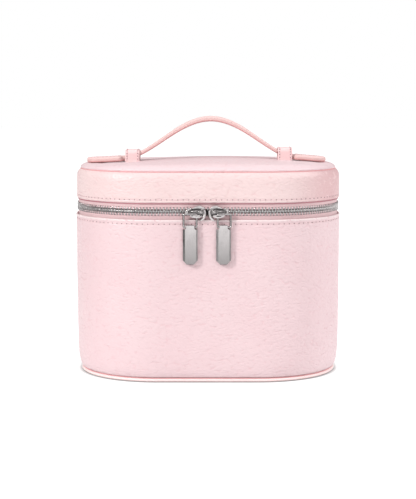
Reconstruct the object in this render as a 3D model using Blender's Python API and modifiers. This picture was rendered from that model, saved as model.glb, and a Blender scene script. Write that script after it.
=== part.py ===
"""Makeup train case: a zipped leather case with a hinged lid, a carrying strap and two zip pulls.

Metres, +Z up. The origin is the middle of the base, on the surface that the case stands on.
The front of the case faces -Y and its width lies along X.
"""

import math

import bmesh
import bpy
from mathutils import Matrix, Vector

GAP = 0.0003  # clearance between pieces that touch

# Plan of the case: a rectangle with very round corners.
WIDTH = 0.220
DEPTH = 0.150
CORNER = 0.069
CORNER_STEPS = 8

# Heights above the standing surface.
WALL_FOOT = 0.0036
BODY_TOP = 0.1318
ZIP_MIDDLE = 0.1382
LID_FOOT = 0.1443
LID_TOP = 0.1691
PANEL_RIM = 0.1732
PANEL_CROWN = 0.0037  # how far the padded top rises above its rim
FOOT_TUCK = 0.0026  # the body's face turns in at its foot
FOOT_TUCK_HEIGHT = 0.0045
FOOT_TAPER = 0.0012  # and draws in gently above that
FOOT_TAPER_HEIGHT = 0.022
DOME_X = 0.105  # half lengths of the padded top's dome
DOME_Y = 0.072
DOME_X_POWER = 1.4
DOME_Y_POWER = 0.8
DOME_SLICES = 7
DOME_SLICE_SPACING = 0.025

FRONT = -DEPTH / 2
BACK = DEPTH / 2

# Layers of the wall, as insets from the outer face.
LEATHER = 0.0012
BOARD_INSET = 0.0015
BOARD = 0.0018
LINING_INSET = 0.0036
LINING = 0.0008
BODY_BOARD_FOOT = 0.0070
BODY_LINING_FOOT = 0.0072
LINING_STEP = 0.0013  # from the lining's top edge to the teeth

# The lid's wall: (inset, height above its foot), then (inset, depth below its top).
LID_EDGE = ((0.0004, 0.0), (0.0, 0.0022))
LID_SHOULDER = (
    (0.0, 0.0070),
    (0.0003, 0.0044),
    (0.0010, 0.0025),
    (0.0020, 0.0010),
    (0.0031, 0.0),
)
LID_BOARD_DEPTH = 0.0055  # from the lid's top to its board and to its lining
LID_LINING_DEPTH = 0.0021
LID_LINING_STEP = 0.0032  # from the teeth to the lid lining's lower edge
SHEET_INSET = 0.0049
CEILING_LOW = 0.0017  # the lid's ceiling lining, below the lid's top
CEILING_HIGH = 0.0008
TOP_BOARD_LOW = 0.0005  # its board, from below to above the lid's top
TOP_BOARD_HIGH = 0.0015

# The padded top: (inset, height above the lid's top) up its rim, then insets across its dome.
TOP_RIM = ((0.0030, GAP), (0.00305, 0.0017), (0.0037, 0.0029), (0.0054, 0.0037))
TOP_INSETS = (0.0082, 0.016, 0.028, 0.042, 0.056)
FOAM_LOW = 0.0018
FOAM_BELOW_RIM = 0.0016
FOAM_SIDE = 0.0075
FOAM_LIP = 0.0001
FOAM_LIP_HEIGHT = 0.0005
FOAM_INSETS = (0.0100, 0.022, 0.036, 0.052)

# Zip.
TAPE_INSET = 0.0019
TAPE = 0.0007
TEETH_INSET = 0.0008
TEETH = 0.0028
TEETH_HEIGHT = 0.0026
TEETH_REACH = 0.0034  # from the zip's middle to the far edge of one row of teeth
TAPE_TUCK = 0.0058  # how far the tape reaches behind the leather
STOP_LENGTH = 0.0011
ZIP_END = WIDTH / 2 - CORNER - 0.0005  # half the length of the back without a zip

# Hinge.
HINGE_HALF = ZIP_END - STOP_LENGTH - 2 * GAP
HINGE_LEATHER = 0.0012

# Handle.
STRAP_WIDTH = 0.014
STRAP_THICKNESS = 0.003
STRAP_APEX = 0.210  # middle of the strap's thickness
STRAP_LOW = 0.1752
STRAP_REACH = 0.080  # half the length over which the strap rises
STRAP_CLEAR = 0.00035  # above the lid's top
STRAP_TUCK = 0.0006  # how far the arch runs into each keeper
STRAP_SLICE = 0.0040
KEEPER_MIDDLE = 0.064
KEEPER_LENGTH = 0.012
KEEPER_LEATHER = 0.0014
KEEPER_TOP = 0.1847
KEEPER_ROOM = 0.0008  # beside the strap
KEEPER_CORNER = 0.002
END_THICKNESS = 0.003
END_NECK = 0.013
END_WIDTH = 0.021
END_SHOULDER = 0.073
END_SLOPE = 0.0015
END_OUTER = 0.1005
END_TUCK = 0.0013
END_INNER = KEEPER_MIDDLE - KEEPER_LENGTH / 2 + END_TUCK
END_SLICE = 0.0045

# Sliders and pulls, with distances along X from the point where the sliders meet.
MEETING_X = -0.0006
SLIDER_NEAR = 0.0013
SLIDER_FAR = 0.0161
SLIDER_BOTTOM = 0.1336
SLIDER_TOP = 0.1432
SLIDER_PLATE = 0.0014
WING = 0.0012  # the slider's back wing
WING_HALF = 0.0038
POST_NEAR = 0.0045
POST_FAR = 0.0080
OVERLAP = 0.0004  # by which joined solids run into each other
CROWN_NEAR = 0.010
CROWN_FAR = 0.016
CROWN_WALL = 0.001
CROWN_BELOW = 0.0012
CROWN_ABOVE = 0.0018
WIRE = 0.0015
TUNNEL = 0.0023
RING_MIDDLE = 0.0135
RING_WIDTH = 0.0103  # between the middles of its wires
RING_CORNER = 0.0013
RING_TOP = 0.1364
RING_BOTTOM = 0.1260
TAB_WIDTH = 0.0117
TAB_THICKNESS = 0.0024
TAB_TOP = 0.1243
TAB_BOTTOM = 0.0955
TAB_CHAMFER = 0.0035
BARREL_LENGTH = 0.0068
BARREL_RADIUS = 0.0018
BARREL_HOLE = 0.0011

# Base.
BASE_LEATHER = 0.0012
BASE_BOARD = 0.0024
BASE_PAD = 0.002
BASE_INSET = 0.0056
PIPING_RADIUS = 0.0013
PIPING_INSET = 0.0040
PIPING_MIDDLE = 0.0015
BOARD_STEP = 0.0008  # how much further in the base's board and pad lie
PAD_STEP = 0.0014

# Colours.
PINK = (0.90, 0.66, 0.68)
FIBRE = (0.45, 0.40, 0.36)
CLOTH = (0.78, 0.60, 0.60)
TAPE_PINK = (0.80, 0.55, 0.55)
FOAM_CREAM = (0.80, 0.76, 0.62)
NICKEL = (1.0, 0.97, 0.95)


# ---------------------------------------------------------------- scene and materials

for old in list(bpy.data.objects):
    bpy.data.objects.remove(old, do_unlink=True)

case_parts = bpy.data.collections.new("makeup_train_case")
cutters = bpy.data.collections.new("cutters")
bpy.context.scene.collection.children.link(case_parts)
bpy.context.scene.collection.children.link(cutters)


def material(name, colour, roughness, metallic=0.0):
    made = bpy.data.materials.new(name)
    made.use_nodes = True
    shader = made.node_tree.nodes["Principled BSDF"]
    shader.inputs["Base Color"].default_value = (*colour, 1.0)
    shader.inputs["Roughness"].default_value = roughness
    shader.inputs["Metallic"].default_value = metallic
    made.diffuse_color = (*colour, 1.0)
    return made


def pink(name, brightness=1.0):
    return material(name, [channel * brightness for channel in PINK], roughness=0.45)


def metal(name, grey=0.55):
    return material(name, [channel * grey for channel in NICKEL], roughness=0.22, metallic=1.0)


def fibre(name):
    return material(name, FIBRE, roughness=0.85)


def cloth(name):
    return material(name, CLOTH, roughness=0.80)


def linked(name, data, finish):
    """A new object from this mesh or curve, with its own material."""
    made = bpy.data.objects.new(name, data)
    data.materials.append(finish)
    case_parts.objects.link(made)
    return made


def cutter(made):
    """Moves an object to the cutters, where it isn't rendered."""
    case_parts.objects.unlink(made)
    cutters.objects.link(made)
    made.hide_render = True
    made.display_type = "WIRE"
    return made


def pivot(name, location, parent=None):
    """An empty on a joint's axis."""
    made = bpy.data.objects.new(name, None)
    made.empty_display_size = 0.01
    case_parts.objects.link(made)
    made.location = Vector(location)
    if parent:
        made.parent = parent
        made.matrix_parent_inverse = parent.matrix_world.inverted()
    bpy.context.view_layer.update()
    return made


def hang(made, parent):
    """Parents a piece without moving it."""
    bpy.context.view_layer.update()
    made.parent = parent
    made.matrix_parent_inverse = parent.matrix_world.inverted()
    return made


# ---------------------------------------------------------------- shared shapes


def arc(middle_x, middle_y, radius, start, end, steps):
    """Points along an arc, with its angles in degrees."""
    points = []
    for step in range(steps + 1):
        angle = math.radians(start + (end - start) * step / steps)
        points.append((middle_x + radius * math.cos(angle), middle_y + radius * math.sin(angle)))
    return points


def outline(inset=0.0):
    """The case's plan, counter-clockwise, from the left end of the back to its right end."""
    radius = CORNER - inset
    x = WIDTH / 2 - CORNER
    y = DEPTH / 2 - CORNER
    corners = ((-x, y, 90), (-x, -y, 180), (x, -y, 270), (x, y, 360))
    points = []
    for middle_x, middle_y, start in corners:
        points += arc(middle_x, middle_y, radius, start, start + 90, CORNER_STEPS)
    return points


def curve(name, points, closed):
    """A flat curve of straight segments."""
    made = bpy.data.curves.new(name, "CURVE")
    made.dimensions = "2D"
    spline = made.splines.new("POLY")
    spline.points.add(len(points) - 1)
    for point, (x, y) in zip(spline.points, points):
        point.co = (x, y, 0.0, 1.0)
    spline.use_cyclic_u = closed
    return made


def strip(name, profile, thickness, finish, closed=True):
    """A wall of one thickness around the case. The profile lists (inset, height) up its outer face."""
    inward = 1 if closed else -1  # an open path turns its profile round
    profile = [(inward * inset, height) for inset, height in profile]
    guide = linked(name + "_profile", curve(name + "_profile", profile, False), finish)
    cutter(guide)
    run = outline()
    if not closed:
        run = [(-ZIP_END, BACK), *run, (ZIP_END, BACK)]
    path = curve(name, run, closed)
    path.bevel_mode = "OBJECT"
    path.bevel_object = guide
    made = linked(name, path, finish)
    shell = made.modifiers.new("thickness", "SOLIDIFY")
    shell.thickness = thickness
    shell.offset = -inward
    shell.use_even_offset = True
    return made


def plate(name, points, bottom, top, finish):
    """A flat sheet of this outline, lying between two heights."""
    flat = curve(name, points, True)
    flat.fill_mode = "BOTH"
    flat.extrude = (top - bottom) / 2
    made = linked(name, flat, finish)
    made.location.z = (top + bottom) / 2
    return made


def box(name, low, high, finish):
    """A block between two opposite corners."""
    shape = bmesh.new()
    bmesh.ops.create_cube(shape, size=1.0)
    low, high = Vector(low), Vector(high)
    sizes = Matrix.Diagonal((*(high - low), 1.0))
    bmesh.ops.transform(shape, matrix=Matrix.Translation((low + high) / 2) @ sizes, verts=shape.verts)
    data = bpy.data.meshes.new(name)
    shape.to_mesh(data)
    shape.free()
    return linked(name, data, finish)


def round_bar(name, middle, radius, length, finish, sides=20):
    """A cylinder along X."""
    shape = bmesh.new()
    bmesh.ops.create_cone(
        shape, cap_ends=True, segments=sides, radius1=radius, radius2=radius, depth=length
    )
    turn = Matrix.Translation(middle) @ Matrix.Rotation(math.radians(90), 4, "Y")
    bmesh.ops.transform(shape, matrix=turn, verts=shape.verts)
    data = bpy.data.meshes.new(name)
    shape.to_mesh(data)
    shape.free()
    return linked(name, data, finish)


def combine(made, other, operation):
    """Adds a Boolean with another object, which becomes a cutter."""
    cutter(other)
    step = made.modifiers.new(other.name, "BOOLEAN")
    step.operation = operation
    step.solver = "EXACT"
    step.object = other
    return made


def body_face(height):
    """Inset of the body's outer face at this height: it draws in towards the foot."""
    above = max(0.0, height - WALL_FOOT)
    tuck = FOOT_TUCK * math.exp(-above / FOOT_TUCK_HEIGHT)
    return tuck + FOOT_TAPER * math.exp(-above / FOOT_TAPER_HEIGHT)


def body_profile(bottom, top, extra, steps):
    """A profile that follows the body's outer face, closer spaced near the foot."""
    points = []
    for step in range(steps + 1):
        height = bottom + (top - bottom) * (step / steps) ** 2
        points.append((body_face(height) + extra, height))
    return points


def crown(x, y):
    """Share of the padded top's rise at this place."""
    across = max(0.0, 1.0 - (x / DOME_X) ** 2) ** DOME_X_POWER
    deep = max(0.0, 1.0 - (y / DOME_Y) ** 2) ** DOME_Y_POWER
    return across * deep


def panel_height(x, y=0.0):
    return PANEL_RIM + PANEL_CROWN * crown(x, y)


def padded(name, rings, finish):
    """A crowned top. Each ring is (inset, height), and those at the last height take the dome's rise."""
    shape = bmesh.new()
    inset, height = rings[0]
    face = shape.faces.new([shape.verts.new((x, y, height)) for x, y in outline(inset)])
    for next_inset, next_height in rings[1:]:
        bmesh.ops.inset_region(
            shape, faces=[face], thickness=next_inset - inset, use_boundary=True, use_even_offset=True
        )
        for vert in face.verts:
            vert.co.z = next_height
        inset = next_inset
    for number in range(DOME_SLICES):
        x = (number - (DOME_SLICES - 1) / 2) * DOME_SLICE_SPACING
        everything = shape.verts[:] + shape.edges[:] + shape.faces[:]
        bmesh.ops.bisect_plane(shape, geom=everything, plane_co=(x, 0, 0), plane_no=(1, 0, 0))
    flat = rings[-1][1]
    for vert in shape.verts:
        if vert.co.z > flat - GAP / 3:
            vert.co.z += PANEL_CROWN * crown(vert.co.x, vert.co.y)
    data = bpy.data.meshes.new(name)
    shape.to_mesh(data)
    shape.free()
    return linked(name, data, finish)


# ---------------------------------------------------------------- body and base


def make_body():
    strip(
        "body_leather_wall",
        body_profile(WALL_FOOT, BODY_TOP, 0.0, 8),
        LEATHER,
        pink("body_leather"),
    )
    tape_foot = BODY_TOP - TAPE_TUCK
    strip(
        "body_stiffener",
        body_profile(BODY_BOARD_FOOT, tape_foot - GAP, BOARD_INSET, 5),
        BOARD,
        fibre("body_board"),
    )
    teeth_foot = ZIP_MIDDLE - TEETH_REACH
    strip(
        "body_lining",
        body_profile(BODY_LINING_FOOT, teeth_foot - LINING_STEP, LINING_INSET, 5),
        LINING,
        cloth("body_lining_cloth"),
    )
    plate("base_leather", outline(BASE_INSET), 0.0, BASE_LEATHER, pink("base_leather_finish", 0.9))
    board_low = BASE_LEATHER + GAP
    board_top = board_low + BASE_BOARD
    board_plan = outline(BASE_INSET + BOARD_STEP)
    plate("base_board", board_plan, board_low, board_top, fibre("base_board_fibre"))
    pad_low = board_top + GAP
    pad_plan = outline(BASE_INSET + PAD_STEP)
    plate("base_lining", pad_plan, pad_low, pad_low + BASE_PAD, cloth("base_cloth"))
    piping = curve("base_piping", outline(PIPING_INSET), True)
    piping.dimensions = "3D"
    piping.bevel_depth = PIPING_RADIUS
    piping.bevel_resolution = 1
    made = linked("base_piping", piping, pink("piping_leather", 1.05))
    made.location.z = PIPING_MIDDLE


# ---------------------------------------------------------------- lid


def make_lid(hinge):
    wall = [(inset, LID_FOOT + above) for inset, above in LID_EDGE]
    wall += [(inset, LID_TOP - below) for inset, below in LID_SHOULDER]
    tape_top = LID_FOOT + TAPE_TUCK
    board = [(BOARD_INSET, tape_top + GAP), (BOARD_INSET, LID_TOP - LID_BOARD_DEPTH)]
    lining_low = ZIP_MIDDLE + TEETH_REACH + LID_LINING_STEP
    lining = [(LINING_INSET, lining_low), (LINING_INSET, LID_TOP - LID_LINING_DEPTH)]
    hang(strip("lid_leather_wall", wall, LEATHER, pink("lid_leather")), hinge)
    hang(strip("lid_stiffener", board, BOARD, fibre("lid_board")), hinge)
    hang(strip("lid_lining", lining, LINING, cloth("lid_lining_cloth")), hinge)

    ceiling = (LID_TOP - CEILING_LOW, LID_TOP - CEILING_HIGH)
    board = (LID_TOP - TOP_BOARD_LOW, LID_TOP + TOP_BOARD_HIGH)
    plan = outline(SHEET_INSET)
    hang(plate("lid_top_lining", plan, *ceiling, cloth("lid_top_cloth")), hinge)
    hang(plate("lid_top_board", plan, *board, fibre("lid_top_fibre")), hinge)

    foam_low = LID_TOP + FOAM_LOW
    foam_top = PANEL_RIM - FOAM_BELOW_RIM
    rings = [(FOAM_SIDE, foam_low), (FOAM_SIDE + FOAM_LIP, foam_low + FOAM_LIP_HEIGHT)]
    rings += [(inset, foam_top) for inset in FOAM_INSETS]
    foam = padded("lid_top_foam", rings, material("foam", FOAM_CREAM, roughness=0.9))
    bottom = bmesh.new()
    bottom.from_mesh(foam.data)
    bmesh.ops.contextual_create(bottom, geom=[edge for edge in bottom.edges if edge.is_boundary])
    bmesh.ops.recalc_face_normals(bottom, faces=bottom.faces)
    bottom.to_mesh(foam.data)
    bottom.free()
    hang(foam, hinge)

    rings = [(inset, LID_TOP + above) for inset, above in TOP_RIM]
    rings += [(inset, PANEL_RIM) for inset in TOP_INSETS]
    top = padded("lid_top_leather", rings, pink("lid_top_leather_finish", 0.97))
    shell = top.modifiers.new("thickness", "SOLIDIFY")
    shell.thickness = LEATHER
    shell.offset = -1.0
    hang(top, hinge)


# ---------------------------------------------------------------- zip and hinge


def make_zip(hinge):
    """Two rows of teeth on two tapes, with a stop at each end, and the leather hinge behind."""
    halves = (
        ("lower", -1, BODY_TOP - TAPE_TUCK, None),
        ("upper", 1, LID_FOOT + TAPE_TUCK, hinge),
    )
    for half, way, tucked, parent in halves:
        teeth_far = ZIP_MIDDLE + way * TEETH_REACH
        teeth_near = teeth_far - way * TEETH_HEIGHT
        tape_near = teeth_far + way * GAP
        hinge_near = ZIP_MIDDLE + way * GAP / 2
        made = []
        low, high = sorted((tucked, tape_near))
        tape = [(TAPE_INSET, low), (TAPE_INSET, high)]
        finish = material(half + "_tape", TAPE_PINK, roughness=0.8)
        made.append(strip(half + "_zip_tape", tape, TAPE, finish, closed=False))
        low, high = sorted((teeth_far, teeth_near))
        teeth = [(TEETH_INSET, low), (TEETH_INSET, high)]
        made.append(strip(half + "_zip_teeth", teeth, TEETH, metal(half + "_teeth"), closed=False))
        for side, sign in (("left", -1), ("right", 1)):
            far = sign * (ZIP_END - GAP)
            near = far - sign * STOP_LENGTH
            made.append(
                box(
                    f"{half}_end_stop_{side}",
                    (min(far, near), BACK - TEETH_INSET - TEETH, low),
                    (max(far, near), BACK - TEETH_INSET, high),
                    metal(f"{half}_{side}_stop"),
                )
            )
        low, high = sorted((tucked, hinge_near))
        made.append(
            box(
                half + "_hinge_strip",
                (-HINGE_HALF, BACK - TAPE_INSET - HINGE_LEATHER, low),
                (HINGE_HALF, BACK - TAPE_INSET, high),
                pink(half + "_hinge_leather", 0.95),
            )
        )
        if parent:
            for piece in made:
                hang(piece, parent)


# ---------------------------------------------------------------- handle


def strap_height(x, thickness):
    """Middle of the strap's thickness: an arch between the keepers, lying on the lid outside them."""
    rise = STRAP_APEX - STRAP_LOW
    arch = STRAP_LOW
    if abs(x) < STRAP_REACH:
        arch += rise * (1 + math.cos(math.pi * x / STRAP_REACH)) / 2
    return max(arch, panel_height(x) + STRAP_CLEAR + thickness / 2)


def strap(name, points, thickness, spacing, finish):
    """A flat strap of this outline, bent to the strap's line."""
    shape = bmesh.new()
    shape.faces.new([shape.verts.new((x, y, 0)) for x, y in points])
    low = min(x for x, _ in points)
    high = max(x for x, _ in points)
    count = round((high - low) / spacing)
    for step in range(1, count):
        x = low + (high - low) * step / count
        everything = shape.verts[:] + shape.edges[:] + shape.faces[:]
        bmesh.ops.bisect_plane(shape, geom=everything, plane_co=(x, 0, 0), plane_no=(1, 0, 0))
    for vert in shape.verts:
        vert.co.z = strap_height(vert.co.x, thickness)
    data = bpy.data.meshes.new(name)
    shape.to_mesh(data)
    shape.free()
    made = linked(name, data, finish)
    shell = made.modifiers.new("thickness", "SOLIDIFY")
    shell.thickness = thickness
    shell.offset = 0.0
    shell.use_even_offset = True
    return made


def keeper(name, sign):
    """The leather bridge that holds the strap down, open along X."""
    half = STRAP_WIDTH / 2 + KEEPER_ROOM + KEEPER_LEATHER
    foot = panel_height(KEEPER_MIDDLE - KEEPER_LENGTH / 2) + GAP
    inner = half - KEEPER_LEATHER
    bend = KEEPER_TOP - KEEPER_CORNER
    points = [(half, foot), (half, bend)]
    points += arc(half - KEEPER_CORNER, bend, KEEPER_CORNER, 22.5, 90, 3)
    points += arc(KEEPER_CORNER - half, bend, KEEPER_CORNER, 90, 180, 4)
    points += [(-half, foot), (-inner, foot), (-inner, KEEPER_TOP - KEEPER_LEATHER)]
    points += [(inner, KEEPER_TOP - KEEPER_LEATHER), (inner, foot)]
    band = curve(name, points, True)
    band.fill_mode = "BOTH"
    band.extrude = KEEPER_LENGTH / 2
    made = linked(name, band, pink(name + "_leather", 1.03))
    made.matrix_world = Matrix.Translation((sign * KEEPER_MIDDLE, 0, 0)) @ Matrix(
        ((0, 0, 1, 0), (1, 0, 0, 0), (0, 1, 0, 0), (0, 0, 0, 1))
    )
    return made


def strap_end(name, sign):
    """The wide, round end of the strap, whose neck runs into the keeper."""
    neck, half = END_NECK / 2, END_WIDTH / 2
    middle = END_OUTER - half
    side = [(END_INNER, -neck), (END_SHOULDER, -neck), (END_SHOULDER + END_SLOPE, -half)]
    side += arc(middle, 0.0, half, -90, 90, 10)
    side += [(END_SHOULDER + END_SLOPE, half), (END_SHOULDER, neck), (END_INNER, neck)]
    points = [(sign * x, y) for x, y in side]
    if sign < 0:
        points.reverse()
    return strap(name, points, END_THICKNESS, END_SLICE, pink(name + "_leather", 0.98))


def make_handle(hinge):
    reach = KEEPER_MIDDLE - KEEPER_LENGTH / 2 + STRAP_TUCK
    half = STRAP_WIDTH / 2
    arch = [(-reach, -half), (reach, -half), (reach, half), (-reach, half)]
    hang(strap("handle_strap", arch, STRAP_THICKNESS, STRAP_SLICE, pink("strap_leather")), hinge)
    for side, sign in (("left", -1), ("right", 1)):
        hang(keeper(side + "_keeper", sign), hinge)
        slide = pivot(side + "_strap_slide", (sign * KEEPER_MIDDLE, 0, STRAP_LOW), hinge)
        hang(strap_end(side + "_strap_end", sign), slide)


# ---------------------------------------------------------------- sliders and pulls

PLATE_BACK = FRONT + TEETH_INSET - GAP
PLATE_FRONT = PLATE_BACK - SLIDER_PLATE
BAR_Y = PLATE_FRONT - TUNNEL / 2


def span(sign, near, far):
    """Two X positions in rising order, for distances on one side of the meeting point."""
    return sorted((MEETING_X + sign * near, MEETING_X + sign * far))


def slider(name, sign):
    """Two wings held apart by a post that runs between the rows of teeth, and a crown for the ring."""
    finish = metal(name + "_metal")
    near, far = span(sign, SLIDER_NEAR, SLIDER_FAR)
    front_low = (near, PLATE_FRONT, SLIDER_BOTTOM)
    made = box(name, front_low, (far, PLATE_BACK, SLIDER_TOP), finish)
    wing_front = FRONT + TEETH_INSET + TEETH + GAP
    wing = box(
        name + "_back_wing",
        (near, wing_front, ZIP_MIDDLE - WING_HALF),
        (far, wing_front + WING, ZIP_MIDDLE + WING_HALF),
        finish,
    )
    near, far = span(sign, POST_NEAR, POST_FAR)
    half_post = (TEETH_REACH - TEETH_HEIGHT) - GAP
    post = box(
        name + "_post",
        (near, PLATE_BACK - OVERLAP, ZIP_MIDDLE - half_post),
        (far, wing_front + OVERLAP, ZIP_MIDDLE + half_post),
        finish,
    )
    near, far = span(sign, CROWN_NEAR, CROWN_FAR)
    half_tunnel = TUNNEL / 2
    top = box(
        name + "_crown",
        (near, PLATE_FRONT - TUNNEL - CROWN_WALL, RING_TOP - half_tunnel - CROWN_BELOW),
        (far, PLATE_BACK - OVERLAP, RING_TOP + half_tunnel + CROWN_ABOVE),
        finish,
    )
    tunnel = box(
        name + "_tunnel",
        (near - OVERLAP, PLATE_FRONT - TUNNEL, RING_TOP - half_tunnel),
        (far + OVERLAP, PLATE_FRONT, RING_TOP + half_tunnel),
        finish,
    )
    combine(made, top, "UNION")
    combine(made, tunnel, "DIFFERENCE")
    combine(made, post, "UNION")
    return combine(made, wing, "UNION")


def ring(name, sign):
    """A rectangle of round wire, through the slider's crown."""
    half = RING_WIDTH / 2
    middle = MEETING_X + sign * RING_MIDDLE
    tall = (RING_TOP - RING_BOTTOM) / 2
    corners = ((half, tall, 0), (-half, tall, 90), (-half, -tall, 180), (half, -tall, 270))
    points = []
    for x, z, start in corners:
        inner_x = x - math.copysign(RING_CORNER, x)
        inner_z = z - math.copysign(RING_CORNER, z)
        points += arc(inner_x, inner_z, RING_CORNER, start, start + 90, 3)
    wire = curve(name, points, True)
    wire.dimensions = "3D"
    wire.bevel_depth = WIRE / 2
    wire.bevel_resolution = 2
    made = linked(name, wire, metal(name + "_metal"))
    place = Matrix.Translation((middle, BAR_Y, (RING_TOP + RING_BOTTOM) / 2))
    made.matrix_world = place @ Matrix.Rotation(math.radians(90), 4, "X")
    return made


def tab(name, sign):
    """The flat pull, with a barrel round the ring's lower bar."""
    finish = metal(name + "_metal", 0.6)
    middle = MEETING_X + sign * RING_MIDDLE
    half = TAB_WIDTH / 2
    neck = BARREL_LENGTH / 2
    low = TAB_BOTTOM + TAB_CHAMFER
    points = [
        (-half + TAB_CHAMFER, TAB_BOTTOM),
        (half - TAB_CHAMFER, TAB_BOTTOM),
        (half, low),
        (half, TAB_TOP),
        (neck, TAB_TOP),
        (neck, RING_BOTTOM),
        (-neck, RING_BOTTOM),
        (-neck, TAB_TOP),
        (-half, TAB_TOP),
        (-half, low),
    ]
    shape = bmesh.new()
    back = BAR_Y + TAB_THICKNESS / 2
    face = shape.faces.new([shape.verts.new((middle + x, back, z)) for x, z in points])
    grown = bmesh.ops.extrude_face_region(shape, geom=[face])
    moved = [item for item in grown["geom"] if isinstance(item, bmesh.types.BMVert)]
    bmesh.ops.translate(shape, vec=(0, -TAB_THICKNESS, 0), verts=moved)
    bmesh.ops.recalc_face_normals(shape, faces=shape.faces)
    data = bpy.data.meshes.new(name)
    shape.to_mesh(data)
    shape.free()
    made = linked(name, data, finish)
    axis = (middle, BAR_Y, RING_BOTTOM)
    barrel = round_bar(name + "_barrel", axis, BARREL_RADIUS, BARREL_LENGTH, finish)
    hole = round_bar(name + "_hole", axis, BARREL_HOLE, BARREL_LENGTH * 1.5, finish)
    combine(made, barrel, "UNION")
    return combine(made, hole, "DIFFERENCE")


def make_pulls():
    for side, sign in (("left", -1), ("right", 1)):
        middle = MEETING_X + sign * RING_MIDDLE
        run = pivot(side + "_slider_run", (middle, BAR_Y, ZIP_MIDDLE))
        swing = pivot(side + "_ring_axis", (middle, BAR_Y, RING_TOP), run)
        turn = pivot(side + "_tab_axis", (middle, BAR_Y, RING_BOTTOM), swing)
        hang(slider(side + "_slider", sign), run)
        hang(ring(side + "_pull_ring", sign), swing)
        hang(tab(side + "_pull_tab", sign), turn)


make_body()
lid_hinge = pivot("lid_hinge", (0, BACK, ZIP_MIDDLE))
make_lid(lid_hinge)
make_zip(lid_hinge)
make_handle(lid_hinge)
make_pulls()
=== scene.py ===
"""Looks of the makeup train case: pebbled leather, metal zip, lining, floor, lights and camera."""

import math

import bmesh
import bpy
import numpy as np
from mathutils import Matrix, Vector, noise


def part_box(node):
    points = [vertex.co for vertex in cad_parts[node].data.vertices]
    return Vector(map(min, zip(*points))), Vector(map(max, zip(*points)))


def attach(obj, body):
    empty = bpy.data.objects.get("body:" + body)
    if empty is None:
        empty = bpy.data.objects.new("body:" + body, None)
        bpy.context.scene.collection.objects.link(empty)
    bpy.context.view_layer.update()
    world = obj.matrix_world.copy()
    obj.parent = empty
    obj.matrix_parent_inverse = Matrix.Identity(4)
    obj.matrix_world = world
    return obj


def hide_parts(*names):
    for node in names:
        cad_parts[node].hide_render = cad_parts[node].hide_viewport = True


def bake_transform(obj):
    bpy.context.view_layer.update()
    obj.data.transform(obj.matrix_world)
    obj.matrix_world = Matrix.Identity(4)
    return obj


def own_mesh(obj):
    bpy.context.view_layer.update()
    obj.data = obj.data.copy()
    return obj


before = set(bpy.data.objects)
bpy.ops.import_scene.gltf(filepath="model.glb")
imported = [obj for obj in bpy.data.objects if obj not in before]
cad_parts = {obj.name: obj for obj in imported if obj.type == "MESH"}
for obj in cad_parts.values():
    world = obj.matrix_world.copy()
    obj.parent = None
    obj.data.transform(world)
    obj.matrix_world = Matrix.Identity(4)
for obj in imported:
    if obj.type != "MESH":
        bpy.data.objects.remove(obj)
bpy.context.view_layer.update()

# ---- sizes, in metres

MM = 0.001

wall_low, wall_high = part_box("body_leather_wall")
lid_low, lid_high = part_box("lid_leather_wall")
lower_teeth_low, lower_teeth_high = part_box("lower_zip_teeth")
_, upper_teeth_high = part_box("upper_zip_teeth")

HALF_X = wall_high.x
HALF_Y = wall_high.y
CORNER = 69 * MM  # radius of the plan's corners
STRAIGHT_X = HALF_X - CORNER
STRAIGHT_Y = HALF_Y - CORNER
WALL_FOOT = wall_low.z
BODY_TOP = wall_high.z
LID_FOOT = lid_low.z
LID_TOP = lid_high.z
LID_SET_IN = 0.45 * MM
ZIP_MIDDLE = (lower_teeth_low.z + upper_teeth_high.z) / 2
ZIP_END = STRAIGHT_X - 0.5 * MM  # half the length of the back without a zip
TEETH_INSET = HALF_X - lower_teeth_high.x
TEETH_DEPTH = 2.8 * MM
TOOTH_PITCH = 2.7 * MM

LEATHER = 1.2 * MM
TAPE_INSET = 1.9 * MM
TAPE = 0.7 * MM
LINING_INSET = 3.6 * MM
LINING = 0.8 * MM
SHEET_PLACES = 285  # places round the case at which a wall's section stands

BODY_STITCH = BODY_TOP - 3.6 * MM
LID_STITCH = LID_FOOT + 3.2 * MM
STITCH_PITCH = 4.36 * MM

# ---- the case's plan

ARC = math.pi * CORNER / 2
RUNS = (STRAIGHT_X, ARC, 2 * STRAIGHT_Y, ARC, 2 * STRAIGHT_X, ARC, 2 * STRAIGHT_Y, ARC, STRAIGHT_X)
ROUND = sum(RUNS)
CORNERS = ((-1, 1, 90), (-1, -1, 180), (1, -1, 270), (1, 1, 0))  # signs, and first normal's angle
FLATS = (  # first point, way and normal
    ((0, HALF_Y), (-1, 0), (0, 1)),
    ((-HALF_X, STRAIGHT_Y), (0, -1), (-1, 0)),
    ((-STRAIGHT_X, -HALF_Y), (1, 0), (0, -1)),
    ((HALF_X, -STRAIGHT_Y), (0, 1), (1, 0)),
    ((STRAIGHT_X, HALF_Y), (-1, 0), (0, 1)),
)


def plan(distances):
    """Points and outward normals on the outer plan, this far round from the middle of the back.

    The way round is by the left end, the front and the right end."""
    distances = np.mod(np.asarray(distances, float), ROUND)
    ends = np.cumsum(RUNS)
    points = np.zeros((len(distances), 2))
    normals = np.zeros((len(distances), 2))
    for index, run in enumerate(RUNS):
        here = (distances >= ends[index] - run) & (distances <= ends[index])
        along = distances[here] - (ends[index] - run)
        if index % 2:
            sign_x, sign_y, start = CORNERS[index // 2]
            angle = math.radians(start) + along / CORNER
            normal = np.stack([np.cos(angle), np.sin(angle)], 1)
            points[here] = np.array([sign_x * STRAIGHT_X, sign_y * STRAIGHT_Y]) + CORNER * normal
        else:
            origin, way, normal = (np.array(item, float) for item in FLATS[index // 2])
            points[here] = origin + along[:, None] * way
        normals[here] = normal
    return points, normals


def around(count):
    """Even distances right round the case."""
    return np.arange(count) * ROUND / count


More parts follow.
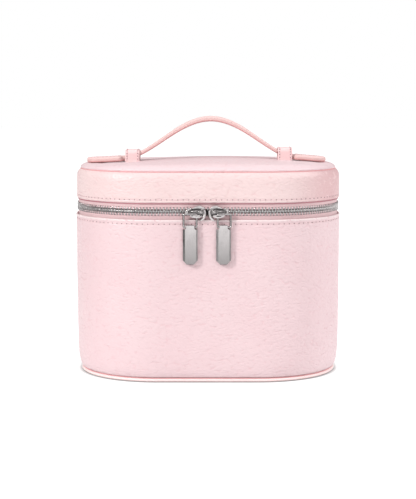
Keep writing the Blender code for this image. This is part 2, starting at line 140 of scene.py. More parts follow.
def along_zip(step):
    """Even distances from one end of the zip to the other, round the front."""
    count = max(2, round((ROUND - 2 * ZIP_END) / step))
    return np.linspace(ZIP_END, ROUND - ZIP_END, count + 1)


# ---- building meshes


def new_object(name, data):
    made = bpy.data.objects.new(name, data)
    bpy.context.scene.collection.objects.link(made)
    return made


def settle(made, body, node, slot):
    """Rides a piece on its body, in place of a CAD node if one is given. The slot is not used."""
    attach(made, body)
    if node:
        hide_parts(node)
    return made


def new_piece(name, vertices, faces, finish, where=None, uv=None, smooth=True):
    """A mesh object. where holds its body, node and slot, uv one (u, v) in metres per vertex."""
    data = bpy.data.meshes.new(name)
    data.from_pydata([tuple(v) for v in vertices], [], [tuple(f) for f in faces])
    if uv is not None:
        layer = data.uv_layers.new(name="metres")
        loops = np.empty(len(data.loops), np.int32)
        data.loops.foreach_get("vertex_index", loops)
        layer.data.foreach_set("uv", np.asarray(uv, np.float32)[loops].ravel())
    shape = bmesh.new()
    shape.from_mesh(data)
    bmesh.ops.recalc_face_normals(shape, faces=shape.faces)
    shape.to_mesh(data)
    shape.free()
    if smooth:
        data.shade_smooth()
    data.materials.append(finish)
    made = new_object(name, data)
    return settle(made, *where) if where else made


def grid_faces(rows, columns, wrap_rows=False, wrap_columns=False):
    """Quads between neighbours of a grid of vertices."""
    faces = []
    for i in range(rows if wrap_rows else rows - 1):
        for j in range(columns if wrap_columns else columns - 1):
            i2, j2 = (i + 1) % rows, (j + 1) % columns
            faces.append((i * columns + j, i2 * columns + j, i2 * columns + j2, i * columns + j2))
    return faces


def tube_faces(rows, columns, closed=False):
    """Faces of a tube made of rings: closed on itself, or capped at both ends."""
    faces = grid_faces(rows, columns, closed, True)
    if not closed:
        last = (rows - 1) * columns
        faces += [tuple(range(columns)), tuple(range(last, last + columns))]
    return faces


def sweep(name, section, distances, finish, where=None, closed=True, shift=None):
    """Carries a closed section of (inset, height) points round the case."""
    section = np.asarray(section, float)
    points, normals = plan(distances)
    inset = np.repeat(section[None, :, 0], len(distances), 0)
    height = np.repeat(section[None, :, 1], len(distances), 0)
    if shift:
        inset = inset + shift(points, height)
    flat = points[:, None, :] - normals[:, None, :] * inset[:, :, None]
    vertices = np.concatenate([flat, height[:, :, None]], 2).reshape(-1, 3)
    steps = np.linalg.norm(np.diff(section, axis=0), axis=1)
    steps = np.concatenate([[0.0], np.cumsum(steps)])
    u = np.repeat(np.asarray(distances)[:, None], len(section), 1)
    v = np.repeat(steps[None, :], len(distances), 0)
    uv = np.stack([u, v], 2).reshape(-1, 2)
    faces = tube_faces(len(distances), len(section), closed)
    return new_piece(name, vertices, faces, finish, where, uv)


def spaced(points, spacing):
    """Points at this spacing along a smooth line through the given ones."""
    points = np.asarray(points, float)
    before = np.vstack([2 * points[0] - points[1], points[:-1]])
    after = np.vstack([points[1:], 2 * points[-1] - points[-2]])
    slopes = (after - before) / 2
    line = []
    for index in range(len(points) - 1):
        start, end = points[index], points[index + 1]
        count = max(1, round(np.linalg.norm(end - start) / spacing))
        for step in range(count):
            t = step / count
            line.append(
                (2 * t**3 - 3 * t**2 + 1) * start
                + (t**3 - 2 * t**2 + t) * slopes[index]
                + (3 * t**2 - 2 * t**3) * end
                + (t**3 - t**2) * slopes[index + 1]
            )
    line.append(points[-1])
    return np.array(line)


def unit_ways(line):
    """The direction of a line at each of its points."""
    ways = np.gradient(line, axis=0)
    return ways / np.linalg.norm(ways, axis=1)[:, None]


def sheet_section(line, thickness, cap_steps=4):
    """A closed section: a sheet of one thickness behind this line, with round edges."""
    line = np.asarray(line, float)
    ways = unit_ways(line)
    inward = np.stack([ways[:, 1], -ways[:, 0]], 1)
    half = thickness / 2
    middle = line + inward * half

    def cap(index, sign):
        """Half circle from the outer to the inner side, bulging along the line's end."""
        found = []
        for step in range(1, cap_steps):
            angle = math.pi * step / cap_steps
            out = -inward[index] * math.cos(angle) * sign + ways[index] * math.sin(angle) * sign
            found.append(middle[index] + half * out)
        return found

    outer = middle - inward * half
    inner = (middle + inward * half)[::-1]
    return np.array([*outer, *cap(-1, 1), *inner, *cap(0, -1)])


def ball_section(inset, height, radius, count=16):
    angles = np.arange(count) * 2 * math.pi / count
    return np.stack([inset + radius * np.cos(angles), height + radius * np.sin(angles)], 1)


def copies(name, shape, matrices, finish, where):
    """One mesh that holds a copy of a small shape at each matrix."""
    vertices, faces = shape
    matrices = np.asarray(matrices, float)
    placed = np.einsum("mij,vj->mvi", matrices[:, :3, :3], np.asarray(vertices, float))
    placed = placed + matrices[:, None, :3, 3]
    every = []
    for index in range(len(matrices)):
        offset = index * len(vertices)
        every += [tuple(v + offset for v in face) for face in faces]
    return new_piece(name, placed.reshape(-1, 3), every, finish, where)


def placed_at(position, across, up, out):
    """A matrix whose columns are the three directions and the position."""
    made = np.eye(4)
    made[:3, 0], made[:3, 1], made[:3, 2], made[:3, 3] = across, out, up, position
    return made


def loft(sections):
    """Vertices and faces of a closed body through sections with equally many points."""
    vertices = np.concatenate([np.asarray(section, float) for section in sections])
    return vertices, tube_faces(len(sections), len(sections[0]))


def at_height(outline, height):
    """A flat (x, y) outline as points at one height."""
    return np.column_stack([outline, np.full(len(outline), height)])


def at_depth(outline, depth):
    """An upright (x, z) outline as points at one y."""
    return np.column_stack([outline[:, 0], np.full(len(outline), depth), outline[:, 1]])


def rounded_rectangle(half_x, half_y, radius, steps=2):
    """Points of a rectangle with round corners, as (x, y)."""
    points = []
    for sign_x, sign_y, start in ((1, 1, 0), (-1, 1, 90), (-1, -1, 180), (1, -1, 270)):
        for step in range(steps + 1):
            angle = math.radians(start + 90 * step / steps)
            x = sign_x * (half_x - radius) + radius * math.cos(angle)
            y = sign_y * (half_y - radius) + radius * math.sin(angle)
            points.append((x, y))
    return np.array(points)


def join(name, pieces):
    """Joins objects into the first of them."""
    bpy.ops.object.select_all(action="DESELECT")
    for piece in pieces:
        piece.select_set(True)
    bpy.context.view_layer.objects.active = pieces[0]
    bpy.ops.object.join()
    pieces[0].name = pieces[0].data.name = name
    return pieces[0]


def applied(made, kind, **values):
    """Adds a modifier with these settings and applies it."""
    modifier = made.modifiers.new("applied", kind)
    for key, value in values.items():
        setattr(modifier, key, value)
    bpy.context.view_layer.objects.active = made
    bpy.ops.object.modifier_apply(modifier=modifier.name)


# ---- materials


class Nodes:
    """The node tree of a material or a world, with short ways to add and link nodes."""

    def __init__(self, owner):
        owner.use_nodes = True
        self.owner = owner
        self.tree = owner.node_tree

    def feed(self, socket, value):
        """Links an output to the socket, or sets its number, vector or colour."""
        if isinstance(value, bpy.types.NodeSocket):
            self.tree.links.new(value, socket)
        elif isinstance(value, tuple) and len(value) < len(socket.default_value):
            socket.default_value = (*value, 1.0)
        else:
            socket.default_value = value

    def add(self, kind, *inputs, **values):
        """A node with its first inputs fed in order, and other settings and inputs by name."""
        node = self.tree.nodes.new("ShaderNode" + kind)
        for key, value in values.items():
            if hasattr(node, key):
                setattr(node, key, value)
            else:
                self.feed(node.inputs[key.replace("_", " ")], value)
        for socket, value in zip(node.inputs, inputs):
            self.feed(socket, value)
        return node

    def coordinates(self):
        return self.add("TexCoord").outputs["Object"]

    def axes(self, place):
        return self.add("SeparateXYZ", place).outputs

    def noise(self, where, scale, detail=2.0, roughness=0.5):
        values = {"Scale": scale, "Detail": detail, "Roughness": roughness}
        return self.add("TexNoise", where, **values).outputs["Fac"]

    def math(self, operation, *numbers):
        return self.add("Math", *numbers, operation=operation).outputs[0]

    def ramp(self, value, low, high, to_low=0.0, to_high=1.0, **values):
        return self.add("MapRange", value, low, high, to_low, to_high, **values).outputs[0]

    def smooth(self, value, low, high):
        """0 at low and 1 at high, with soft ends."""
        return self.ramp(value, low, high, interpolation_type="SMOOTHSTEP")

    def mix(self, share, first, second):
        node = self.add("Mix", data_type="RGBA")
        for index, value in ((0, share), (6, first), (7, second)):
            self.feed(node.inputs[index], value)
        return node.outputs[2]

    def bump(self, height, distance, strength=1.0, **before):
        values = {"Strength": strength, "Distance": distance, "Height": height}
        return self.add("Bump", **values, **before).outputs["Normal"]

    def finish(self, **values):
        """The material, with these values on its shader."""
        shader = self.tree.nodes["Principled BSDF"]
        for key, value in values.items():
            self.feed(shader.inputs[key.replace("_", " ")], value)
        return self.owner


def new_material(name):
    return Nodes(bpy.data.materials.new(name))


def times(colour, red, green=None, blue=None):
    """A colour multiplied by one factor, or by one for each channel."""
    factors = (red, green or red, blue or red)
    return tuple(min(1.0, c * k) for c, k in zip(colour, factors))


PEBBLE_STRETCH = (0.85, 0.85, 1.5)  # pebbles are wider than tall
FOLD_HALF = 1.3 * MM


def leather(name, colour, grain=1.0, pebble=2.7 * MM, roughness=0.42, fold=None, ends=None):
    """Pebbled leather: rounded grains with fine creases between them, darkened with painted shade,
    over soft unevenness.

    fold is the height of a fold with a paler band along it, a painted highlight; ends holds the x
    where painted shade starts to deepen the colour and where that is complete."""
    nodes = new_material(name)
    place = nodes.coordinates()
    warp = nodes.add("TexNoise", place, Scale=0.45 / pebble, Detail=0.0).outputs["Color"]
    bend = (0.9 * pebble,) * 3
    bent = nodes.add("VectorMath", warp, bend, place, operation="MULTIPLY_ADD").outputs[0]
    wide = nodes.add("Mapping", bent, Scale=PEBBLE_STRETCH).outputs[0]
    cells = {"feature": "SMOOTH_F1", "Scale": 1 / pebble, "Smoothness": 0.22}
    from_centre = nodes.add("TexVoronoi", wide, **cells).outputs["Distance"]
    dome = nodes.ramp(nodes.math("POWER", from_centre, 2.0), 0.0, 0.80, 1.0, 0.0)
    pores = nodes.noise(place, 1300.0, 2.0)
    swell = nodes.noise(place, 0.22 / pebble, 1.0)
    fine = nodes.bump(pores, 0.010 * MM, 0.25 * grain)
    slow = nodes.bump(swell, 0.5 * MM * grain, 0.35, Normal=fine)
    patches = nodes.ramp(nodes.noise(place, 28.0, 3.0), 0.35, 0.65)
    tint = nodes.mix(patches, times(colour, 0.99, 0.965, 0.97), colour)
    # painted highlight: a paler band along the fold, where its round edge catches the light
    if fold:
        off_fold = nodes.math("ABSOLUTE", nodes.math("SUBTRACT", nodes.axes(place)[2], fold))
        fold_highlight = nodes.smooth(off_fold, FOLD_HALF, 0.2 * MM)
        tint = nodes.mix(fold_highlight, tint, times(colour, 1.06, 1.16, 1.12))
    # painted shade: the colour deepens towards the right end, which is lit less
    if ends:
        end_shade = nodes.smooth(nodes.axes(place)[0], *ends)
        tint = nodes.mix(end_shade, tint, times(colour, 0.85, 0.70, 0.72))
    # painted shade: the creases between the pebbles take a darker copy of the colour
    crease_shade = times(colour, 0.97, 0.90, 0.91)
    return nodes.finish(
        Base_Color=nodes.mix(nodes.ramp(dome, 0.0, 0.45), crease_shade, tint),
        Roughness=nodes.ramp(dome, 0.0, 1.0, roughness + 0.14, roughness - 0.03),
        Normal=nodes.bump(dome, 0.36 * MM * grain, 0.95, Normal=slow),
        Specular_IOR_Level=0.5,
    )


def thread(name, colour):
    """Twisted sewing thread."""
    nodes = new_material(name)
    wave = {"bands_direction": "DIAGONAL", "Scale": 900.0, "Distortion": 1.0}
    twist = nodes.add("TexWave", nodes.coordinates(), **wave).outputs["Fac"]
    return nodes.finish(
        Base_Color=nodes.mix(twist, times(colour, 0.82), colour),
        Roughness=0.6,
        Normal=nodes.bump(twist, 0.05 * MM, 0.6),
    )


# Needle holes: a dark colour painted in for the shade inside them.
def painted_hole_shade(name, colour):
    nodes = new_material(name)
    speck = nodes.noise(nodes.coordinates(), 2500.0)
    return nodes.finish(Base_Color=nodes.mix(speck, times(colour, 0.6), colour), Roughness=0.8)


def nickel(name, grey, roughness, brushed=False, painted_shade=None, middle=0.0):
    """Polished nickel with faint scuffs.

    A triple of two distances and a share darkens it with painted shade to that share between
    those distances above or below the middle height."""
    nodes = new_material(name)
    place = nodes.coordinates()
    stretch = (1.0, 1.0, 0.08) if brushed else (1.0, 1.0, 1.0)
    drawn = nodes.add("Mapping", place, Scale=stretch).outputs["Vector"]
    scuffs = nodes.noise(drawn, 1500.0 if brushed else 420.0, 3.0, 0.6)
    smudge = nodes.noise(place, 160.0, 2.0)
    warm = times((grey,) * 3, 1.0, 0.955, 0.955)
    colour = nodes.mix(nodes.ramp(smudge, 0.3, 0.7), times(warm, 0.88), warm)
    # painted shade: the colour darkens between two heights, standing in for shade and dark
    # reflections
    if painted_shade:
        dark, unshaded, share = painted_shade
        away = nodes.math("ABSOLUTE", nodes.math("SUBTRACT", nodes.axes(place)[2], middle))
        colour = nodes.mix(nodes.ramp(away, dark, unshaded), times(warm, share), colour)
    return nodes.finish(
        Base_Color=colour,
        Metallic=1.0,
        Roughness=nodes.ramp(scuffs, 0.3, 0.7, roughness * 0.75, roughness * 1.5),
        Normal=nodes.bump(scuffs, 0.01 * MM, 0.25),
    )


def woven(name, colour, thread_width, shine=0.25, roughness=0.75):
    """Plain-woven cloth, with its threads along the piece's own length and width."""
    nodes = new_material(name)
    place = nodes.add("UVMap", uv_map="metres").outputs["UV"]
    turns = 1.0 / (2 * thread_width)
    wave = {"Scale": turns * 0.31, "Distortion": 0.4}
    warp = nodes.add("TexWave", place, bands_direction="X", **wave).outputs
    weft = nodes.add("TexWave", place, bands_direction="Y", **wave).outputs
    check = nodes.add("TexChecker", place, Scale=turns).outputs["Fac"]
    over = nodes.math("MULTIPLY", warp["Fac"], weft["Fac"])
    height = nodes.math("ADD", over, nodes.mix(check, warp["Color"], weft["Color"]))
    slubs = nodes.math("ADD", over, nodes.noise(place, 700.0, 3.0))
    return nodes.finish(
        Base_Color=nodes.mix(nodes.ramp(slubs, 0.35, 1.3), times(colour, 0.80), colour),
        Roughness=roughness,
        Normal=nodes.bump(height, 0.08 * MM, 0.5),
        Sheen_Weight=shine,
        Sheen_Roughness=0.4,
    )


def pressed_fibre(name):
    nodes = new_material(name)
    fibres = nodes.noise(nodes.coordinates(), 900.0, 4.0, 0.7)
    return nodes.finish(
        Base_Color=nodes.mix(fibres, (0.30, 0.25, 0.21), (0.50, 0.44, 0.38)),
        Roughness=0.9,
        Normal=nodes.bump(fibres, 0.1 * MM, 0.5),
    )


def open_foam(name):
    nodes = new_material(name)
    cells = nodes.add("TexVoronoi", nodes.coordinates(), Scale=1100.0).outputs["Distance"]
    return nodes.finish(
        Base_Color=nodes.mix(cells, (0.82, 0.78, 0.62), (0.55, 0.50, 0.36)),
        Roughness=0.95,
        Normal=nodes.bump(cells, 0.2 * MM, 0.7),
    )


SMALL = 1.1 * MM  # pebbles of the handle's leather
TINY = 1.0 * MM  # pebbles where leather is folded or cut

# the body's leather, with a painted highlight along its top fold
BODY_LEATHER = leather("body_leather", (0.645, 0.494, 0.513), fold=BODY_TOP - 0.8 * MM)
# the lid's leather: a little paler than the body's, painted light for the lid's brighter lighting,
# with painted shade deepening towards its right end
LID_LEATHER = leather("lid_leather", (0.662, 0.520, 0.517), ends=(62 * MM, 104 * MM))
TOP_LEATHER = leather("top_leather", (0.640, 0.506, 0.525), 0.8)
STRAP_LEATHER = leather("strap_leather", (0.66, 0.465, 0.450), 0.03, SMALL, 0.48)
# painted shade: a darker copy of the strap's leather for the faces that turn down, away from the
# light
STRAP_SHADED_SIDE = leather("strap_shaded_underside", (0.66, 0.37, 0.36), 0.03, SMALL, 0.5)
KEEPER_FINISH = leather("keeper_leather", (0.75, 0.54, 0.54), 0.12, SMALL, 0.44)
PIPING_LEATHER = leather("piping_leather", (0.86, 0.68, 0.67), 0.25, TINY)
BASE_LEATHER = leather("base_leather", (0.70, 0.525, 0.545))
HINGE_LEATHER = leather("hinge_leather", (0.70, 0.505, 0.525), 0.7)
# painted shade: a dark strip laid in the seam grooves
SEAM_SHADOW_STRIP = leather("seam_shadow", (0.62, 0.30, 0.31), 0.3, TINY, 0.6)
THREAD = thread("pink_thread", (0.76, 0.57, 0.585))
# painted shade inside the needle holes
HOLE = painted_hole_shade("painted_hole_shade", (0.26, 0.15, 0.16))
# painted shadow: a dark line under the lid's edge, where it shades the zip tape
SHADOW_LINE_LEATHER = leather("painted_shadow_line", (0.40, 0.16, 0.19), 0.2, TINY, 0.6)
TAPE_CLOTH = woven("zip_tape_weave", (0.69, 0.485, 0.500), 0.28 * MM)
LINING_CLOTH = woven("lining_weave", (0.78, 0.56, 0.56), 0.30 * MM, 0.35, 0.6)
# painted shade: the teeth darken towards their legs, which show dark in shade, and stay bright at
# the heads
TOOTH_SHADE = (3.0 * MM, 1.5 * MM, 0.40)
TEETH_METAL = nickel("teeth_nickel", 0.60, 0.27, False, TOOTH_SHADE, ZIP_MIDDLE)
SLIDER_METAL = nickel("slider_nickel", 0.46, 0.14)
# painted light: a paler copy of the slider's nickel for its raised parts, which catch the light
LIT_COPY_METAL = nickel("slider_nickel_painted_lit", 0.58, 0.30)
# painted shade: a darker copy of the slider's nickel for its front plate and the rivet's groove
SHADED_METAL = nickel("slider_nickel_painted_shade", 0.20, 0.3)
# painted shade: near-black nickel for dark pieces put where there is only shade
BLACK_SHADE_METAL = nickel("slider_nickel_black_shade", 0.03, 0.4)
WIRE_METAL = nickel("ring_nickel", 0.36, 0.18)
# painted shade: the pull darkens towards its bottom, standing in for the darker reflection there
TAB_METAL = nickel("pull_nickel", 0.57, 0.13, True, (94 * MM, 128 * MM, 0.44))
FIBRE = pressed_fibre("pressed_fibre_board")
FOAM = open_foam("open_cell_foam")

for node in ("body_stiffener", "lid_stiffener", "base_board", "lid_top_board", "lid_top_foam"):
    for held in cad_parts[node].material_slots:
        held.material = FOAM if node == "lid_top_foam" else FIBRE

# ---- leather walls

WAVE = 0.16 * MM


def soft_shift(seed, amount=WAVE, scale=24 * MM, set_in=0.0):
    """Slow in-and-out unevenness of a stretched sheet, as a function for sweep."""
    offset = Vector((seed, 2.0 * seed, 0.5))

    def shift(points, height):
        moved = np.zeros_like(height)
        for i, (x, y) in enumerate(points):
            for j in range(height.shape[1]):
                place = Vector((x, y, height[i, j])) / scale + offset
                moved[i, j] = set_in + amount * noise.noise(place)
        return moved

    return shift


def hump(distance, width):
    """1 at no distance, fading to 0 on both sides."""
    return np.exp(-((distance / width) ** 2))


def body_face(height):
    """Inset of the body's outer face: it draws in towards the foot."""
    above = np.maximum(0.0, np.asarray(height, float) - WALL_FOOT)
    return 2.6 * MM * np.exp(-above / (4.5 * MM)) + 1.2 * MM * np.exp(-above / (22 * MM))


CLOSE = 8 * MM  # height at the wall's ends where its points stand closer
body_heights = np.concatenate(
    [
        np.linspace(WALL_FOOT + LEATHER / 2, WALL_FOOT + CLOSE, 9)[:-1],
        np.linspace(WALL_FOOT + CLOSE, BODY_TOP - CLOSE, 52)[:-1],
        np.linspace(BODY_TOP - CLOSE, BODY_TOP - LEATHER / 2, 16),
    ]
)
body_insets = (
    body_face(body_heights)
    + 0.28 * MM * hump(body_heights - BODY_STITCH, 0.9 * MM)
    - 0.30 * MM * hump(body_heights - BODY_TOP + 1.0 * MM, 0.8 * MM)
)
sweep(
    "body_leather",
    sheet_section(np.stack([body_insets, body_heights], 1), LEATHER),
    around(SHEET_PLACES),
    BODY_LEATHER,
    ("case", "body_leather_wall", "wall_leather"),
    shift=soft_shift(3.1),
)

# Each row: inset, and height above the lid's foot, its stitches or its top, in millimetres.
LID_ROWS = (
    (LID_FOOT, ((0.6, 0.6), (0.15, 1.0), (-0.12, 1.7), (0.0, 2.3))),
    (LID_STITCH, ((0.22, 0.0), (0.05, 0.9), (0.0, 2.0), (0.0, 6.0))),
    (LID_TOP, ((0.0, -11.0), (0.0, -7.0), (0.3, -4.4), (1.0, -2.5), (2.0, -1.0), (3.1, -0.2))),
)
lid_line = [(x * MM, level + z * MM) for level, rows in LID_ROWS for x, z in rows]
sweep(
    "lid_leather",
    sheet_section(spaced(lid_line, 0.6 * MM), LEATHER),
    around(SHEET_PLACES),
    LID_LEATHER,
    ("lid", "lid_leather_wall", "wall_leather"),
    shift=soft_shift(7.7, 0.12 * MM, set_in=LID_SET_IN),
)

# Dark strips of painted shade in the grooves of the top seam and the base seam, and a dark line of
# painted shadow under the lid's edge.
for name, finish, inset, height, radius, body, slot in (
    ("lid_top_seam", SEAM_SHADOW_STRIP, 4.1, LID_TOP + 0.15 * MM, 0.60, "lid", "piping_leather"),
    ("base_seam", SEAM_SHADOW_STRIP, 4.7, WALL_FOOT - 0.55 * MM, 0.60, "case", "piping_leather"),
    # a dark line of painted shadow under the lid's edge
    ("lid_shadow_line", SHADOW_LINE_LEATHER, 1.55, LID_FOOT + 0.05 * MM, 0.42, "lid", "wall_leather"),
):
    section = ball_section(inset * MM, height, radius * MM, 10)
    sweep(name, section, around(240), finish, (body, None, slot))

piping_low, piping_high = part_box("base_piping")
sweep(
    "base_piping_roll",
    ball_section(4.6 * MM, (piping_low.z + piping_high.z) / 2, 1.3 * MM, 20),
    around(420),
    PIPING_LEATHER,
    ("case", "base_piping", "piping_leather"),
)

# ---- stitches

STITCH_LENGTH = STITCH_PITCH - 1.0 * MM
STITCH_RADIUS = 0.30 * MM
HOLE_RADIUS = 0.44 * MM
STITCH_SIDES = 8


def stitch_shape():
    """One stitch of thread: it rises in the middle and dives into its holes at both ends."""
    sections = []
    for t in np.arange(7) / 6:
        thick = STITCH_RADIUS * math.sin(math.pi * (0.12 + 0.76 * t)) ** 0.5
        lift = 0.16 * MM * math.sin(math.pi * t) - 0.14 * MM
        ring = ball_section(lift, 0.0, thick, STITCH_SIDES)
        along = np.full(STITCH_SIDES, (t - 0.5) * STITCH_LENGTH)
        sections.append(np.column_stack([along, ring]))
    return loft(sections)


def hole_shape():
    """The dent of one needle hole: a small bowl, dark with painted shade."""
    sections = []
    for depth, size in ((0.10, 0.25), (0.16, 0.8), (0.05, 1.0), (-0.4, 0.7), (-0.5, 0.2)):
        ring = ball_section(0.0, 0.0, HOLE_RADIUS * size, STITCH_SIDES) * (0.9, 1.0)
        sections.append(at_depth(ring, depth * HOLE_RADIUS))
    return loft(sections)


def stitches_along(name, spots, body, slot, pitch=STITCH_PITCH):
    """A stitch at each (place, way, outward direction), with a needle hole after it."""
    threads, holes = [], []
    for place, way, out in spots:
        way = Vector(way).normalized()
        out = Vector(out).normalized()
        up = way.cross(out) * -1
        threads.append(placed_at(place, way * (pitch / STITCH_PITCH), up, out))
        holes.append(placed_at(Vector(place) + way * pitch / 2, way, up, out))
    copies(name + "_threads", stitch_shape(), threads, THREAD, (body, None, slot))
    copies(name + "_holes", hole_shape(), holes, HOLE, (body, None, slot))


def row_round(name, height, inset, body, start=0.0):
    points, normals = plan(around(round(ROUND / STITCH_PITCH)) + start)
    spots = [
        ((x - nx * inset, y - ny * inset, height), (-ny, nx, 0), (nx, ny, 0))
        for (x, y), (nx, ny) in zip(points, normals)
    ]
    stitches_along(name, spots, body, "wall_leather")


row_round("body_stitches", BODY_STITCH, float(body_face(BODY_STITCH)) + 0.12 * MM, "case")
row_round("lid_stitches", LID_STITCH, 0.06 * MM + LID_SET_IN, "lid", STITCH_PITCH / 2)

# ---- flat panels on the plan


def disc(size, inset):
    """A grid of squares fitted to the plan: its points, faces, rim vertices and rim distances."""
    sides = (2 * STRAIGHT_Y + ARC, 2 * STRAIGHT_X + ARC) * 2
    starts = STRAIGHT_X + ARC / 2 + np.concatenate([[0], np.cumsum(sides[:-1])])
    count = 2 * size + 1
    where = np.zeros((count, count))
    share = np.zeros((count, count))
    for i in range(-size, size + 1):
        for j in range(-size, size + 1):
            k = max(abs(i), abs(j))
            if k == 0:
                continue
            if i == -k and j > -k:
                side, part = 0, (k - j) / (2 * k)
            elif j == -k and i < k:
                side, part = 1, (i + k) / (2 * k)
            elif i == k and j < k:
                side, part = 2, (j + k) / (2 * k)
            else:
                side, part = 3, (k - i) / (2 * k)
            where[i + size, j + size] = starts[side] + part * sides[side]
            share[i + size, j + size] = k / size
    points, normals = plan(where.ravel())
    flat = (points - normals * inset) * share.ravel()[:, None]
    rim = list(range(count - 1, 0, -1))
    rim += [i * count for i in range(count - 1)]
    rim += [(count - 1) * count + j for j in range(count - 1)]
    rim += [i * count + count - 1 for i in range(count - 1, 0, -1)]
    return flat, grid_faces(count, count), rim, where.ravel()[rim]


def panel(name, size, inset, top, border, bottom, finish, where, lift=0.0):
    """A closed panel: a top and a bottom grid, joined by border rings of (inset, height)."""
    flat, faces, rim, distances = disc(size, inset)
    upper = np.column_stack([flat, top(*flat.T) + lift])
    lower = np.column_stack([flat, bottom(*flat.T) + lift])
    points, normals = plan(distances)
    rings = [at_height(points - normals * ring_inset, height) for ring_inset, height in border]
    vertices = np.concatenate([upper, *rings, lower])
    chains = [rim]
    for index in range(len(rings)):
        first = len(upper) + index * len(rim)
        chains.append(list(range(first, first + len(rim))))
    last = len(upper) + len(rings) * len(rim)
    chains.append([last + v for v in rim])
    every = faces + [tuple(last + v for v in face[::-1]) for face in faces]
    for before, after in zip(chains, chains[1:]):
        for j in range(len(before)):
            k = (j + 1) % len(before)
            every.append((before[j], before[k], after[k], after[j]))
    return new_piece(name, vertices, every, finish, where, vertices[:, :2])


PANEL_RIM = 172.8 * MM
PANEL_CROWN = 3.7 * MM
DOME_LEAN = 14 * MM
PANEL_SIZE = 40
PANEL_GRID_INSET = 8.2 * MM
RIM_ROLL = (  # inset and height round the panel's edge, in millimetres
    ((5.9, 172.4), (4.3, 171.7), (3.65, 170.7), (3.6, 169.5))
    + ((4.8, 169.5), (4.85, 170.2), (5.2, 170.8), (6.2, 171.25))
)
MOST_RISE = 0.9 * MM
MOST_FALL = 0.2 * MM
CLOTH = {
    "quality": 6,
    "mass": 0.05,
    "tension_stiffness": 12,
    "compression_stiffness": 12,
    "shear_stiffness": 6,
    "bending_stiffness": 0.4,
    "shrink_min": -0.012,
    "vertex_group_mass": "held",
    "use_pressure": True,
    "uniform_pressure_force": 4.0,
}
CLOTH_STEPS = 20


def crown(x, y):
    """The padded top's dome, fuller towards the right."""
    across = np.maximum(0.0, 1 - ((x - DOME_LEAN) / (105 * MM)) ** 2) ** 2.0
    along = np.maximum(0.0, 1 - (np.abs(y) / (72 * MM)) ** 2) ** 0.8
    return across * along


def panel_height(x, y):
    return PANEL_RIM + PANEL_CROWN * crown(x, y)


def swollen():
    """Cloth simulation of the lid's padded skin: how far each grid point rises."""
    flat, faces, rim, _ = disc(PANEL_SIZE, PANEL_GRID_INSET)
    base = np.column_stack([flat, panel_height(*flat.T)])
    skin = new_piece("panel_cloth", base, faces, TOP_LEATHER)
    held = skin.vertex_groups.new(name="held")
    edge = set(rim)
    for index, (x, y) in enumerate(flat):
        # The strap's ends and keepers hold the skin down a little.
        foot = max(0.0, 1 - max(abs(abs(x) - 80 * MM) / (24 * MM), abs(y) / (13 * MM)) ** 4)
        held.add([index], 1.0 if index in edge else 0.55 * foot, "REPLACE")
    settings = skin.modifiers.new("cloth", "CLOTH").settings
    for key, value in CLOTH.items():
        setattr(settings, key, value)
    settings.effector_weights.gravity = 0.0
    scene = bpy.context.scene
    for step in range(1, CLOTH_STEPS + 1):
        scene.frame_set(step)
    settled = skin.evaluated_get(bpy.context.evaluated_depsgraph_get())
    places = np.empty(len(settled.data.vertices) * 3, np.float32)
    settled.data.vertices.foreach_get("co", places)
    rise = places.reshape(-1, 3)[:, 2] - base[:, 2]
    scene.frame_set(1)
    bpy.data.objects.remove(skin)
    return np.clip(rise, -MOST_FALL, MOST_RISE)


lid_panel = panel(
    "lid_padded_top",
    PANEL_SIZE,
    PANEL_GRID_INSET,
    panel_height,
    [(inset * MM, height * MM) for inset, height in RIM_ROLL],
    lambda x, y: panel_height(x, y) - LEATHER,
    TOP_LEATHER,
    ("lid", "lid_top_leather", "top_leather"),
    swollen(),
)
smoother = lid_panel.modifiers.new("smooth", "SUBSURF")
smoother.levels = smoother.render_levels = 1


def flat_panel(name, inset, finish, where, rim_radius, pillow=0.0):
    """A flat sheet or pad with a rounded rim, where its CAD node is."""
    low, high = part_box(where[1])
    middle = (low.z + high.z) / 2
    half = (high.z - low.z) / 2
    border = []
    for step in range(1, 6):
        angle = math.pi * step / 6
        border.append((inset - rim_radius * math.sin(angle), middle + half * math.cos(angle)))
    return panel(
        name,
        24,
        inset + 0.5 * MM,
        lambda x, y: high.z + pillow * crown(x, y),
        [(inset, high.z), *border, (inset, low.z)],
        lambda x, y: np.full(len(x), low.z),
        finish,
        where,
    )


base = ("case", "base_leather", "base_leather")
floor_cloth = ("case", "base_lining", "lining_cloth")
ceiling = ("lid", "lid_top_lining", "lining_cloth")
flat_panel("base_leather_sheet", 6.1 * MM, BASE_LEATHER, base, 0.5 * MM)
pad = flat_panel("base_lining_pad", 8.0 * MM, LINING_CLOTH, floor_cloth, 1.0 * MM, 0.9 * MM)
flat_panel("lid_ceiling_lining", 5.3 * MM, LINING_CLOTH, ceiling, 0.4 * MM)

# ---- linings

for name, node, body, hem in (
    ("body_wall_lining", "body_lining", "case", 1),
    ("lid_wall_lining", "lid_lining", "lid", -1),
):
    low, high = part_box(node)
    heights = np.linspace(low.z + LINING / 2, high.z - LINING / 2, 40)
    edge = high.z if hem > 0 else low.z
    sewn = hump(heights - edge + hem * 5.0 * MM, 0.8 * MM)
    sweep(
        name,
        sheet_section(np.stack([LINING_INSET + 0.22 * MM * sewn, heights], 1), LINING),
        around(SHEET_PLACES),
        LINING_CLOTH,
        (body, node, "lining_cloth"),
        shift=soft_shift(11.3, 0.10 * MM, 15 * MM),
    )

# ---- zip

TAPE_OVER = 1.5 * MM  # the tape's bead runs inside the teeth
BEAD = 0.78 * MM

